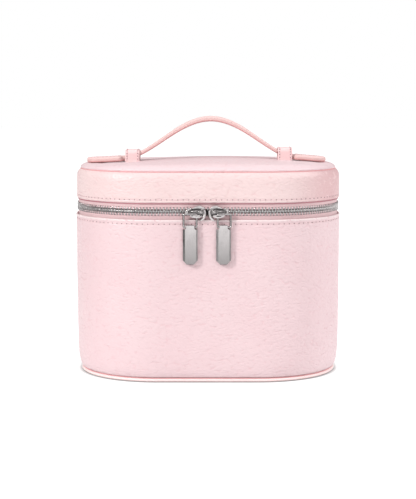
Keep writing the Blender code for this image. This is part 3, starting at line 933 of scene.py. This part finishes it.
for name, node, body, up in (
    ("lower_woven_tape", "lower_zip_tape", "case", 1),
    ("upper_woven_tape", "upper_zip_tape", "lid", -1),
):
    low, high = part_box(node)
    if up > 0:
        high.z += TAPE_OVER
    else:
        low.z -= TAPE_OVER
    heights = np.linspace(low.z + TAPE / 2, high.z - TAPE / 2, 14)
    tape_line = np.stack([np.full(14, TAPE_INSET), heights], 1)
    bead_height = (high.z if up > 0 else low.z) - up * 0.1 * MM
    bead = ball_section(TAPE_INSET + TAPE / 2 - 0.2 * MM, bead_height, BEAD, 10)
    length = along_zip(2 * MM)
    sections = (sheet_section(tape_line, TAPE), bead)
    parts = [sweep(name, section, length, TAPE_CLOTH, closed=False) for section in sections]
    settle(join(name, parts), body, node, "zip_tape")

# Half width and half depth of a tooth at heights from its legs to its head, in millimetres.
TOOTH = (
    ((0.05, 0.44, 0.80), (0.25, 0.58, 1.12), (1.20, 0.60, 1.30), (2.00, 0.50, 1.34))
    + ((2.80, 0.38, 1.30), (3.50, 0.48, 1.26), (3.95, 0.47, 1.14), (4.25, 0.30, 0.88))
)


def teeth_row(name, where, direction, offset):
    """A row of teeth astride the tape's bead, with the heads up or down."""
    sections = []
    for height, half_width, half_depth in TOOTH:
        outline = rounded_rectangle(half_width * MM, half_depth * MM, 0.42 * half_width * MM)
        sections.append(at_height(outline, direction * (height * MM - 3.4 * MM)))
    count = int((ROUND - 2 * ZIP_END - 3 * MM) / TOOTH_PITCH)
    points, normals = plan(ZIP_END + 1.5 * MM + (np.arange(count) + offset) * TOOTH_PITCH)
    inset = TEETH_INSET + TEETH_DEPTH / 2
    matrices = []
    for (x, y), (nx, ny) in zip(points, normals):
        place = (x - nx * inset, y - ny * inset, ZIP_MIDDLE)
        matrices.append(placed_at(place, (-ny, nx, 0), (0, 0, 1), (nx, ny, 0)))
    copies(name, loft(sections), matrices, TEETH_METAL, where)


teeth_row("lower_metal_teeth", ("case", "lower_zip_teeth", "zip_metal"), 1, 0.0)
teeth_row("upper_metal_teeth", ("lid", "upper_zip_teeth", "zip_metal"), -1, 0.5)


def rod(name, path, radii, finish, flatten=1.0, count=12, closed=False, where=None):
    """A round bar along a path of (x, y, z); radii holds one number, or one for each point."""
    path = np.asarray(path, float)
    radii = np.broadcast_to(np.asarray(radii, float), (len(path),))
    ways = np.roll(path, -1, 0) - np.roll(path, 1, 0) if closed else np.gradient(path, axis=0)
    ways /= np.linalg.norm(ways, axis=1)[:, None]
    front = np.array([0.0, -1.0, 0.0])
    vertices = []
    for place, way, radius in zip(path, ways, radii):
        side = np.cross(way, front)
        side /= np.linalg.norm(side)
        out = np.cross(side, way)
        for step in range(count):
            angle = 2 * math.pi * step / count
            offset = side * math.cos(angle) + out * flatten * math.sin(angle)
            vertices.append(place + radius * offset)
    return new_piece(name, vertices, tube_faces(len(path), count, closed), finish, where)


EDGE_STEPS = 3


def slab(outline, back, front, edge, finish):
    """A plate with this (x, z) outline, from y = back to the nearer y = front, its front round."""
    outline = np.asarray(outline, float)
    before = outline - np.roll(outline, 1, 0)
    after = np.roll(outline, -1, 0) - outline
    way = before / np.linalg.norm(before, axis=1)[:, None]
    way = way + after / np.linalg.norm(after, axis=1)[:, None]
    way /= np.linalg.norm(way, axis=1)[:, None]
    inward = np.stack([-way[:, 1], way[:, 0]], 1)
    if np.mean(np.einsum("ij,ij->i", inward, outline.mean(0) - outline)) < 0:
        inward = -inward
    levels = [(0.0, back), (0.0, back)]
    for step in range(EDGE_STEPS + 1):
        angle = math.pi / 2 * step / EDGE_STEPS
        levels.append((edge * (1 - math.cos(angle)), front + edge * (1 - math.sin(angle))))
    sections = [at_depth(outline + inward * amount, y) for amount, y in levels]
    return new_piece("slab", *loft(sections), finish)


MEETING_X = -0.6 * MM
BAR_Y = -77.05 * MM
RING_X = 13.5 * MM
RING_HALF = 5.15 * MM
RING_CORNER = 0.9 * MM
RING_TOP = 136.4 * MM
RING_BOTTOM = 126.0 * MM
WIRE = 0.90 * MM

# Outlines of a slider's parts: x from the sliders' meeting point and z, in millimetres.
SLIDER_OUTLINE = (
    ((1.6, 136.2), (1.5, 138.4), (1.8, 140.4), (3.0, 141.6), (5.5, 142.3), (8.0, 142.3))
    + ((10.5, 141.6), (13.0, 140.5), (15.2, 139.9), (16.1, 138.9), (16.1, 137.5), (15.2, 136.5))
    + ((13.0, 135.9), (10.5, 134.8), (8.0, 134.1), (5.5, 134.1), (3.0, 134.8))
)
# A near-black throat slab between the two sliders, standing in for the shade in the gap where the
# teeth part.
THROAT = ((0.1, 139.2), (1.0, 139.5), (2.2, 139.3), (2.2, 134.6), (1.0, 134.4), (0.1, 135.6))
TOP_HUMP = (
    ((2.3, 140.5), (2.8, 141.7), (4.2, 142.6), (6.2, 143.1), (8.2, 142.8), (10.0, 142.0))
    + ((12.2, 141.0), (13.2, 140.4), (12.0, 140.2), (10.0, 140.5), (8.0, 140.7), (6.0, 140.6))
    + ((4.0, 140.1),)
)
BOTTOM_BAR = (
    ((4.0, 135.0), (5.2, 135.7), (7.0, 135.9), (9.6, 135.9), (11.8, 135.8), (13.3, 136.1))
    + ((13.8, 135.3), (13.1, 134.4), (11.4, 133.7), (9.2, 133.35), (7.0, 133.4), (5.2, 134.0))
)
# A near-black slot on the lower bar, painted shade.
SLOT = ((7.2, 134.9), (7.7, 135.2), (10.6, 135.25), (11.2, 134.9), (10.6, 134.6), (7.8, 134.5))
# Centre lines of its bars: x, y and z in millimetres.
NEAR_ARM = ((4.4, -75.8, 135.6), (4.5, -77.2, 135.2), (4.9, -78.3, 134.9))
FAR_ARM = ((13.0, -75.8, 136.6), (13.4, -77.2, 136.0), (13.2, -78.3, 135.4))
MOUTH_LIP = (
    ((3.2, -76.3, 140.0), (2.1, -76.9, 138.9), (1.75, -77.2, 136.9))
    + ((2.3, -77.4, 134.7), (3.5, -77.2, 132.8), (5.2, -76.6, 131.3))
)
TAIL = (
    ((12.8, -76.2, 140.4), (14.6, -77.0, 140.2), (16.0, -77.3, 139.1))
    + ((15.9, -77.2, 137.6), (14.4, -76.6, 136.6))
)
LEAF = ((7.6, -75.9, 139.4), (9.0, -76.3, 138.9), (10.8, -76.4, 138.3), (12.8, -75.9, 137.9))


def slider(side, body):
    """A zip slider: front and rear plates joined by a post, with mouth lips, tail and bridge."""

    def place(x, z):
        return (MEETING_X + side * x * MM, z * MM)

    def bar(points, radii, flatten=1.0, finish=SLIDER_METAL):
        line = []
        for x, y, z in points:
            across, height = place(x, z)
            line.append((across, y * MM, height))
        line = spaced(line, 0.35 * MM)
        share = np.linspace(0, 1, len(line))
        radii = np.interp(share, np.linspace(0, 1, len(radii)), radii)
        return rod("bar", line, radii * MM, finish, flatten)

    def plate(points, back, front, edge, finish, spacing=0.4):
        outline = spaced([place(x, z) for x, z in (*points, points[0])], spacing * MM)[:-1]
        return slab(outline, back * MM, front * MM, edge * MM, finish)

    def disk(x, z, radius, back, front, edge, finish):
        angles = np.linspace(0, 2 * math.pi, 24, endpoint=False)
        rim = [place(x + radius * math.cos(a), z + radius * math.sin(a)) for a in angles]
        return slab(rim, back * MM, front * MM, edge * MM, finish)

    parts = [
        # the front plate, darkened with painted shade and dark reflection
        plate(SLIDER_OUTLINE, -74.5, -75.9, 0.5, SHADED_METAL, 0.8),
        plate(SLIDER_OUTLINE, -70.0, -71.2, 0.35, SLIDER_METAL, 0.8),
        disk(2.6, 138.2, 0.9, -70.8, -74.8, 0.0, SLIDER_METAL),  # the post
        # the throat, a near-black slab of painted shade
        plate(THROAT, -73.9, -75.2, 0.2, BLACK_SHADE_METAL),
        # the hump, bottom bar, mouth lip and rivet head take the paler copy: painted highlight
        plate(TOP_HUMP, -75.6, -78.3, 0.45, LIT_COPY_METAL),
        plate(BOTTOM_BAR, -77.9, -78.9, 0.4, LIT_COPY_METAL),
        bar(NEAR_ARM, (0.7, 0.6, 0.5)),
        bar(FAR_ARM, (0.7, 0.6, 0.5)),
        bar(MOUTH_LIP, (0.45, 0.72, 0.86, 1.0, 1.1, 0.75), 0.55, LIT_COPY_METAL),
        bar(TAIL, (0.6, 0.95, 1.0, 0.9, 0.5), 0.8),
        disk(5.3, 138.1, 1.85, -75.6, -76.5, 0.35, SLIDER_METAL),  # the rivet: rim, groove, head
        # the groove in painted shade
        disk(5.3, 138.1, 1.30, -76.4, -76.56, 0.0, SHADED_METAL),
        disk(5.3, 138.1, 1.0, -76.4, -76.95, 0.4, LIT_COPY_METAL),
        bar(LEAF, (0.35, 0.55, 0.55, 0.3), 0.7),
    ]
    # near-black marks on the lower bar, painted shade: a slot on the right slider, two dots on the
    # left
    if side > 0:
        parts.append(plate(SLOT, -78.8, -78.95, 0.0, BLACK_SHADE_METAL))
    else:
        parts.append(disk(5.4, 135.3, 0.40, -78.8, -78.95, 0.0, BLACK_SHADE_METAL))
        parts.append(disk(12.0, 135.3, 0.45, -78.8, -78.95, 0.0, BLACK_SHADE_METAL))
    settle(join(body + "_body", parts), body, body, "zip_metal")


def pull_ring(side, body):
    """The wire ring: a rounded rectangle."""
    centre = MEETING_X + side * RING_X
    height = (RING_TOP + RING_BOTTOM) / 2
    outline = rounded_rectangle(RING_HALF, (RING_TOP - RING_BOTTOM) / 2, RING_CORNER, 6)
    path = []
    for start, end in zip(outline, np.roll(outline, -1, 0)):
        count = max(1, round(np.linalg.norm(end - start) / (0.8 * MM)))
        for step in range(count):
            x, z = start + (end - start) * step / count
            path.append((centre + x, BAR_Y, height + z))
    where = (body, body, "zip_metal")
    rod(body + "_wire", path, WIRE, WIRE_METAL, count=14, closed=True, where=where)


def drawn_in(outline, amounts):
    """A polygon whose edge i, from point i to the next, has moved inward by amounts[i]."""
    following = np.roll(outline, -1, 0)
    way = following - outline
    way /= np.linalg.norm(way, axis=1)[:, None]
    turning = np.sum(outline[:, 0] * following[:, 1] - following[:, 0] * outline[:, 1])
    inward = np.stack([-way[:, 1], way[:, 0]], 1) * np.sign(turning)
    moved = outline + inward * np.asarray(amounts, float)[:, None]
    found = []
    for i in range(len(outline)):
        first, second = way[i - 1], way[i]
        across = first[0] * second[1] - first[1] * second[0]
        gap = moved[i] - moved[i - 1]
        if abs(across) < 1e-6:
            found.append(moved[i])
        else:
            share = (gap[0] * second[1] - gap[1] * second[0]) / across
            found.append(moved[i - 1] + first * share)
    return np.array(found)


TAB_OFFSET = {-1: 0.0, 1: -0.6 * MM}  # the right tab hangs a little off the ring's middle
TAB_HALF = 5.85
TAB_NECK = 3.45
TAB_SHOULDER = 124.45
# Points of a tab's left half from the top down, each with the bevel of the edge that follows it.
TAB_OUTLINE = (
    (-TAB_NECK + 0.25, 127.85, 0.12),
    (-TAB_NECK, 127.6, 0.22),
    (-TAB_NECK, 125.3, 0.15),
    (-TAB_NECK - 0.22, 124.75, 0.15),
    (-TAB_NECK - 0.75, TAB_SHOULDER, 0.20),
    (-TAB_HALF, TAB_SHOULDER, 1.15),
    (-TAB_HALF, 99.5, 0.85),
    (-TAB_HALF + 3.3, 96.2, 0.40),
)
LEFT_BEVEL = 1.75  # of the left long edge, which is wider than the right one's
TAB_BACK, TAB_LEDGE, TAB_FRONT = -76.0, -78.0, -78.7
# The roll round the ring: x and radius, in millimetres.
TAB_ROLL = (
    ((-TAB_NECK + 0.1, 1.40), (-TAB_NECK + 0.35, 1.55), (TAB_NECK - 0.35, 1.55))
    + ((TAB_NECK - 0.1, 1.40), (TAB_NECK - 0.1, 1.05), (-TAB_NECK + 0.1, 1.05))
)
ROLL_SIDES = 28


def pull_tab(side, body):
    """A zip pull: a bevelled plate with cut corners, and a neck that hides the ring's roll."""
    centre = MEETING_X + side * RING_X + TAB_OFFSET[side]
    left = [(x, z) for x, z, _ in TAB_OUTLINE]
    bevels = [bevel for _, _, bevel in TAB_OUTLINE]
    bevels += bevels[-2::-1] + [0.30]
    bevels[5] = LEFT_BEVEL
    full = np.array(left + [(-x, z) for x, z in reversed(left)])
    short = full.copy()
    short[:, 1] = np.minimum(short[:, 1], TAB_SHOULDER - 0.02)
    rear = short + (short.mean(0) - short) * 0.03
    levels = [(rear, TAB_BACK), (short, TAB_BACK - 0.3), (short, TAB_LEDGE + 0.02)]
    levels += [(full, TAB_LEDGE), (drawn_in(full, bevels), TAB_FRONT)]
    sections = [at_depth(shape * MM + [centre, 0.0], y * MM) for shape, y in levels]
    plate = new_piece("plate", *loft(sections), TAB_METAL, smooth=False)
    sharp = {"limit_method": "ANGLE", "angle_limit": 0.35}
    applied(plate, "BEVEL", width=0.10 * MM, segments=2, **sharp)
    loops = []
    for across, radius in TAB_ROLL:
        ring = ball_section(BAR_Y, RING_BOTTOM, radius * MM, ROLL_SIDES)
        loops.append(np.column_stack([np.full(ROLL_SIDES, centre + across * MM), ring]))
    faces = grid_faces(len(loops), ROLL_SIDES, True, True)
    barrel = new_piece("barrel", np.concatenate(loops), faces, TAB_METAL)
    settle(join(body + "_plate", [plate, barrel]), body, body, "pull_metal")


for side, word in ((-1, "left"), (1, "right")):
    slider(side, word + "_slider")
    pull_ring(side, word + "_pull_ring")
    pull_tab(side, word + "_pull_tab")

# ---- handle

STRAP_APEX = 209.6 * MM
STRAP_LOW = 175.2 * MM
STRAP_REACH = 80 * MM
STRAP_HALF = 7 * MM
STRAP_THICKNESS = 3 * MM
STRAP_SWELL = 1.3 * MM
STRAP_LEAN = 2.3 * MM
ARCH_HALF = 58.6 * MM
END_THICKNESS = 4.1 * MM
END_LIFT = 0.8 * MM  # how far the inner part of a strap end stands off the panel
NECK = 6.5 * MM
END_HALF = 10.5 * MM
SHOULDER = 73 * MM
END_TIPS = {-1: 101.5 * MM, 1: 98.8 * MM}
END_INNER = 59.4 * MM
END_PITCH = 3.3 * MM
UNDERSIDE = range(13, 28)  # edges of a strap's section that face down, darkened with painted shade


def strap_height(x, thickness):
    """Middle height of the strap: an arch that leans to the right and settles on the panel."""
    x = np.asarray(x, float)
    lift = END_LIFT * np.clip((97 * MM - np.abs(x)) / (24 * MM), 0.0, 1.0)
    resting = panel_height(x, np.zeros_like(x)) + 0.35 * MM + lift + thickness / 2
    lean = STRAP_LEAN * np.clip((66 * MM - np.abs(x)) / (8 * MM), 0.0, 1.0)
    share = np.minimum(np.abs(x - lean) / STRAP_REACH, 1.0)
    rise = (STRAP_APEX - STRAP_LOW) * (1 + np.cos(np.pi * share)) / 2
    return np.maximum(np.where(np.abs(x) < STRAP_REACH, STRAP_LOW + rise, 0.0), resting)


def strap_section(half, thick):
    """Two layers of leather sewn together: rounded edges with a groove between the layers."""
    top = []
    edge = min(0.42 * thick, half)
    for step in range(9):
        across = (half - edge) * (1 - 2 * step / 8)
        top.append((across, thick / 2 + 0.03 * thick * math.cos(math.pi * across / (2 * half))))
    left = []
    for angle in (30, 60, 80):
        a = math.radians(angle)
        left.append((-(half - edge) - edge * math.sin(a), thick / 2 * (0.12 + 0.88 * math.cos(a))))
    groove = [(-(half - 0.07 * thick), 0.0)]
    left += groove + [(x, -z) for x, z in left[::-1]]
    bottom = [(-x, -z) for x, z in top]
    right = [(-x, -z) for x, z in left]
    return np.array(top + left + bottom + right)


def strap_piece(name, stations, half_of, thick_of, thickness, where):
    """A strap along x whose half width and thickness follow two functions of x."""
    heights = strap_height(stations, thickness)
    loops = []
    for x, z, slope in zip(stations, heights, np.gradient(heights, stations)):
        tilt = math.atan(slope)
        section = strap_section(half_of(x), thick_of(x))
        loops.append([(x - up * math.sin(tilt), y, z + up * math.cos(tilt)) for y, up in section])
    made = new_piece(name, *loft(loops), STRAP_LEATHER, where)
    # the faces that turn down take the darker copy: painted shade
    made.data.materials.append(STRAP_SHADED_SIDE)
    for polygon in made.data.polygons:
        spot = min(v % len(loops[0]) for v in polygon.vertices)
        if len(polygon.vertices) == 4 and spot in UNDERSIDE:
            polygon.material_index = 1
    return made


arch = strap_piece(
    "handle_arch",
    np.linspace(-ARCH_HALF, ARCH_HALF, 111),
    lambda x: STRAP_HALF,
    lambda x: STRAP_THICKNESS + STRAP_SWELL * math.exp(-((x / (38 * MM)) ** 2)),
    STRAP_THICKNESS,
    ("lid", "handle_strap", "strap_leather"),
)
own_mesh(arch)


def end_half(x):
    """Half width of a strap end: a neck, a sloped shoulder, then a round outer end."""
    outer = END_TIPS[1 if x > 0 else -1]
    x = abs(x)
    rise = min(1.0, max(0.0, (x - SHOULDER + 3.0 * MM) / (5.0 * MM)))
    width = NECK + (END_HALF - NECK) * rise * rise * (3 - 2 * rise)
    tip = x - (outer - END_HALF)
    if tip > 0:
        width = math.sqrt(max(0.0, END_HALF**2 - tip**2))
    return max(width, 0.4 * MM)


def end_thick(x):
    near = (END_TIPS[1 if x > 0 else -1] - abs(x)) / (0.9 * MM)
    return END_THICKNESS * min(1.0, 0.25 + 0.75 * math.sqrt(max(0.0, min(1.0, near))))


for side, word in ((-1, "left"), (1, "right")):
    body = word + "_strap_end"
    outer = END_TIPS[side]
    centre = outer - END_HALF  # of the round outer end
    tip = outer - END_HALF * (1 - np.cos(np.linspace(0, math.pi / 2, 18)))
    stations = np.unique(np.concatenate([np.linspace(END_INNER, 88 * MM, 44), tip]).round(6))
    stations = np.sort(stations[stations <= outer] * side)
    where = (body, body, "strap_leather")
    strap_piece(word + "_handle_end", stations, end_half, end_thick, END_THICKNESS, where)
    reach = END_HALF - 1.9 * MM
    steps = [(x, reach, 1.0, 0.0) for x in np.arange(74.5 * MM, centre, END_PITCH)]
    for angle in np.arange(78, -79, -21.5):
        a = math.radians(angle)
        x, y = centre + reach * math.cos(a), reach * math.sin(a)
        steps.append((x, y, math.sin(a), -math.cos(a)))
    for x in np.arange(centre - 1.5 * MM, 74.0 * MM, -END_PITCH):
        steps.append((x, -reach, -1.0, 0.0))
    spots = []
    for x, y, way_x, way_y in steps:
        height = float(strap_height(side * x, END_THICKNESS)) + END_THICKNESS / 2 + 0.05 * MM
        spots.append(((side * x, y, height), (side * way_x, way_y, 0), (0, 0, 1)))
    stitches_along(word + "_end_stitches", spots, body, "strap_leather", END_PITCH)

# ---- keepers

KEEPER_MIDDLES = {-1: -63.1 * MM, 1: 64.3 * MM}
KEEPER_HALF_LENGTH = 6 * MM
KEEPER_HALF_WIDTH = 9.2 * MM
KEEPER_LEATHER = 1.4 * MM
KEEPER_TOPS = {-1: 183.9 * MM, 1: 185.6 * MM}
KEEPER_PITCH = 2.3 * MM


def keeper_line(inset, side):
    """The keeper's loop over the strap, from one foot to the other, this far inside its face."""
    half = KEEPER_HALF_WIDTH - inset
    top = KEEPER_TOPS[side] - inset
    bend = 3.2 * MM - 0.6 * inset
    foot = float(panel_height(KEEPER_MIDDLES[side], half)) - 0.6 * MM
    line = [(-half - 0.5 * MM, foot), (-half - 0.12 * MM, foot + 1.2 * MM)]
    line.append((-half, foot + 2.6 * MM))
    for step in range(9):
        angle = math.pi - math.pi / 2 * step / 8
        line.append((-half + bend + bend * math.cos(angle), top - bend + bend * math.sin(angle)))
    for step in range(1, 5):
        crest = 0.25 * MM * math.sin(math.pi / 2 * step / 4)
        line.append(((-half + bend) * (1 - step / 4), top + crest))
    return np.array(line + [(-y, z) for y, z in line[::-1][1:]])


for side, word in ((-1, "left"), (1, "right")):
    middle = KEEPER_MIDDLES[side]
    profile = strap_section(KEEPER_HALF_LENGTH, KEEPER_LEATHER)
    line = keeper_line(KEEPER_LEATHER / 2, side)
    loops = []
    for (y, z), (wy, wz) in zip(line, unit_ways(line)):
        loops.append([(middle + x, y - depth * wz, z + depth * wy) for x, depth in profile])
    where = ("lid", word + "_keeper", "keeper_leather")
    new_piece(word + "_keeper_loop", *loft(loops), KEEPER_FINISH, where)
    steps = spaced(keeper_line(-0.12 * MM, side)[1:-1], 0.4 * MM)
    reach = np.concatenate([[0], np.cumsum(np.linalg.norm(np.diff(steps, axis=0), axis=1))])
    along = np.arange(1.0 * MM, reach[-1] - 0.8 * MM, KEEPER_PITCH)
    here = [np.interp(along, reach, steps[:, axis]) for axis in (0, 1)]
    ahead = [np.interp(along + 0.1 * MM, reach, steps[:, axis]) - here[axis] for axis in (0, 1)]
    spots = []
    for edge in (-1, 1):
        x = middle + edge * (KEEPER_HALF_LENGTH - 1.5 * MM)
        for y, z, way_y, way_z in zip(*here, *ahead):
            spots.append(((x, y, z), (0, way_y, way_z), (0, -way_z, way_y)))
    stitches_along(word + "_keeper_stitches", spots, "lid", "keeper_leather", KEEPER_PITCH)

# ---- hinge and zip ends

low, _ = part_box("lower_hinge_strip")
_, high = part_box("upper_hinge_strip")
HINGE_HALF = high.x
HINGE_REACH = ZIP_END + 1.3 * MM
HINGE_TUCK = 0.8 * MM  # how far the ends go in, to pass behind the zip tape
HINGE_ROWS, HINGE_COLUMNS = 60, 96
vertices = []
for i in range(HINGE_ROWS + 1):
    z = low.z + (high.z - low.z) * i / HINGE_ROWS
    bulge = 0.35 * MM * math.exp(-(((z - ZIP_MIDDLE) / (3.0 * MM)) ** 2))
    for j in range(HINGE_COLUMNS + 1):
        x = HINGE_REACH * (2 * j / HINGE_COLUMNS - 1)
        ripple = noise.noise(Vector((x, 3.0, z)) / (9 * MM)) * 0.12 * MM
        tuck = np.interp(abs(x), (HINGE_HALF - 0.5 * MM, HINGE_HALF + 0.3 * MM), (0, HINGE_TUCK))
        vertices.append((x, HALF_Y - 2.0 * MM + bulge + ripple - tuck, z))
faces = grid_faces(HINGE_ROWS + 1, HINGE_COLUMNS + 1)
hinge = new_piece("hinge_leather_strip", vertices, faces, HINGE_LEATHER)
applied(hinge, "SOLIDIFY", thickness=LEATHER, offset=-1.0)
applied(hinge, "BEVEL", width=0.35 * MM, segments=2, limit_method="ANGLE")
if max(v.co.y for v in hinge.data.vertices) > HALF_Y - 1.5 * MM:
    for vertex in hinge.data.vertices:
        vertex.co.y -= LEATHER
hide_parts("lower_hinge_strip", "upper_hinge_strip")
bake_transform(hinge)

for node, body in (
    ("lower_end_stop_left", "case"),
    ("lower_end_stop_right", "case"),
    ("upper_end_stop_left", "lid"),
    ("upper_end_stop_right", "lid"),
):
    low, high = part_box(node)
    middle = (low + high) / 2
    half = (high - low) / 2
    sections = []
    for step in range(7):
        angle = math.pi * (step / 6 - 0.5)
        swell = 0.55 + 0.45 * math.cos(angle)
        outline = rounded_rectangle(half.x * swell, half.y * swell, half.x * swell * 0.7, 3)
        level = middle.z + half.z * math.sin(angle)
        sections.append(at_height(outline + [middle.x, middle.y], level))
    new_piece(node + "_clip", *loft(sections), TEETH_METAL, (body, node, "zip_metal"))

# ---- floor, light and camera

FLOOR_REACH = 6.0
LIGHT_TARGET = Vector((0, 0, 0.09))
CAMERA_TARGET = Vector((0, 0, 99.2 * MM))
CAMERA_DISTANCE = 1.2
CAMERA_RISE = math.radians(6.77)
SKY_HORIZON = 0.38
SKY_ZENITH = 0.90
WHITE = (1.0, 1.0, 1.0)


def card(name, corners, material, seen=True):
    """A flat square of staging, which the camera sees or doesn't."""
    data = bpy.data.meshes.new(name)
    data.from_pydata(corners, [], [(0, 1, 2, 3)])
    data.materials.append(material)
    made = new_object(name, data)
    made.visible_camera = seen


def floor():
    """A white floor that glows, with a painted contact shadow: its glow fades out at the case's
    foot and beneath it.
    """
    nodes = new_material("white_floor")
    place = nodes.coordinates()
    grain = nodes.noise(place, 60.0)
    squares = []
    for axis, straight in ((0, STRAIGHT_X), (1, STRAIGHT_Y)):
        off_middle = nodes.math("ABSOLUTE", nodes.axes(place)[axis])
        beyond = nodes.math("MAXIMUM", nodes.math("SUBTRACT", off_middle, straight), 0.0)
        squares.append(nodes.math("POWER", beyond, 2.0))
    away = nodes.math("SQRT", nodes.math("ADD", *squares))
    # painted contact shadow: the floor's glow drops near the case's plan
    contact_shadow_fade = nodes.smooth(away, CORNER - 5.0 * MM, CORNER + 1.5 * MM)
    material = nodes.finish(
        Base_Color=nodes.mix(grain, (0.36, 0.36, 0.36), (0.38, 0.38, 0.38)),
        Roughness=0.9,
        Specular_IOR_Level=0.0,
        Emission_Color=WHITE,
        Emission_Strength=nodes.ramp(contact_shadow_fade, 0.0, 1.0, 0.05, 0.80),
    )
    reach = FLOOR_REACH
    corners = [(-reach, -reach, 0), (reach, -reach, 0), (reach, reach, 0), (-reach, reach, 0)]
    card("floor", corners, material)


def flag(name, start, end, height, grey):
    """A grey card beside the case, unseen by the camera: it darkens what metal reflects."""
    nodes = new_material(name + "_cloth")
    weave = nodes.noise(nodes.coordinates(), 200.0)
    tint = nodes.mix(weave, (0.9 * grey,) * 3, (1.1 * grey,) * 3)
    corners = [(*start, 0.0), (*end, 0.0), (*end, height), (*start, height)]
    card(name, corners, nodes.finish(Base_Color=tint, Roughness=1.0), False)


def aimed(name, data, target, way, distance):
    """An object this far from the target along a way, looking back at it."""
    made = new_object(name, data)
    made.location = target + way * distance
    made.rotation_euler = (-way).to_track_quat("-Z", "Y").to_euler()
    return made


def softbox(name, turn, rise, distance, size, power, colour=WHITE):
    """A square light that far from the case, turned clockwise from the front, facing the case."""
    data = bpy.data.lights.new(name, "AREA")
    data.shape = "SQUARE"
    data.size = size
    data.energy = power
    data.color = colour
    turn, rise = math.radians(turn), math.radians(rise)
    ahead = math.cos(rise)
    way = Vector((-math.sin(turn) * ahead, -math.cos(turn) * ahead, math.sin(rise)))
    aimed(name, data, LIGHT_TARGET, way, distance)


def surroundings():
    """White to the camera; for light and reflections, a soft studio that is brighter overhead."""
    world = bpy.data.worlds.new("studio")
    bpy.context.scene.world = world
    nodes = Nodes(world)
    nodes.tree.nodes.clear()
    up = nodes.axes(nodes.add("TexCoord").outputs["Generated"])[2]
    square = nodes.math("MULTIPLY", up, up)
    strength = nodes.math("MULTIPLY_ADD", square, SKY_ZENITH, SKY_HORIZON)
    studio = nodes.add("Background", (1.0, 0.965, 0.965), strength).outputs[0]
    white = nodes.add("Background", WHITE).outputs[0]
    seen = nodes.add("LightPath").outputs["Is Camera Ray"]
    nodes.add("OutputWorld", nodes.add("MixShader", seen, studio, white).outputs[0])


def camera():
    data = bpy.data.cameras.new("camera")
    data.lens = 102.2
    data.sensor_width = 36.0
    data.clip_start = 0.01
    way = Vector((0, -math.cos(CAMERA_RISE), math.sin(CAMERA_RISE)))
    bpy.context.scene.camera = aimed("camera", data, CAMERA_TARGET, way, CAMERA_DISTANCE)


floor()
surroundings()
softbox("key", 54, 30, 2.0, 0.36, 29.0, (1.0, 0.99, 0.975))
softbox("front_fill", -14, 24, 2.4, 1.2, 9.0)
softbox("right_fill", -84, 34, 2.0, 1.0, 19.0)
flag("left_flag", (-0.60, -0.75), (-0.60, 0.35), 0.32, 0.025)
flag("right_flag", (0.66, -0.50), (0.66, -0.05), 0.22, 0.45)
camera()
bpy.context.scene.view_settings.view_transform = "Standard"
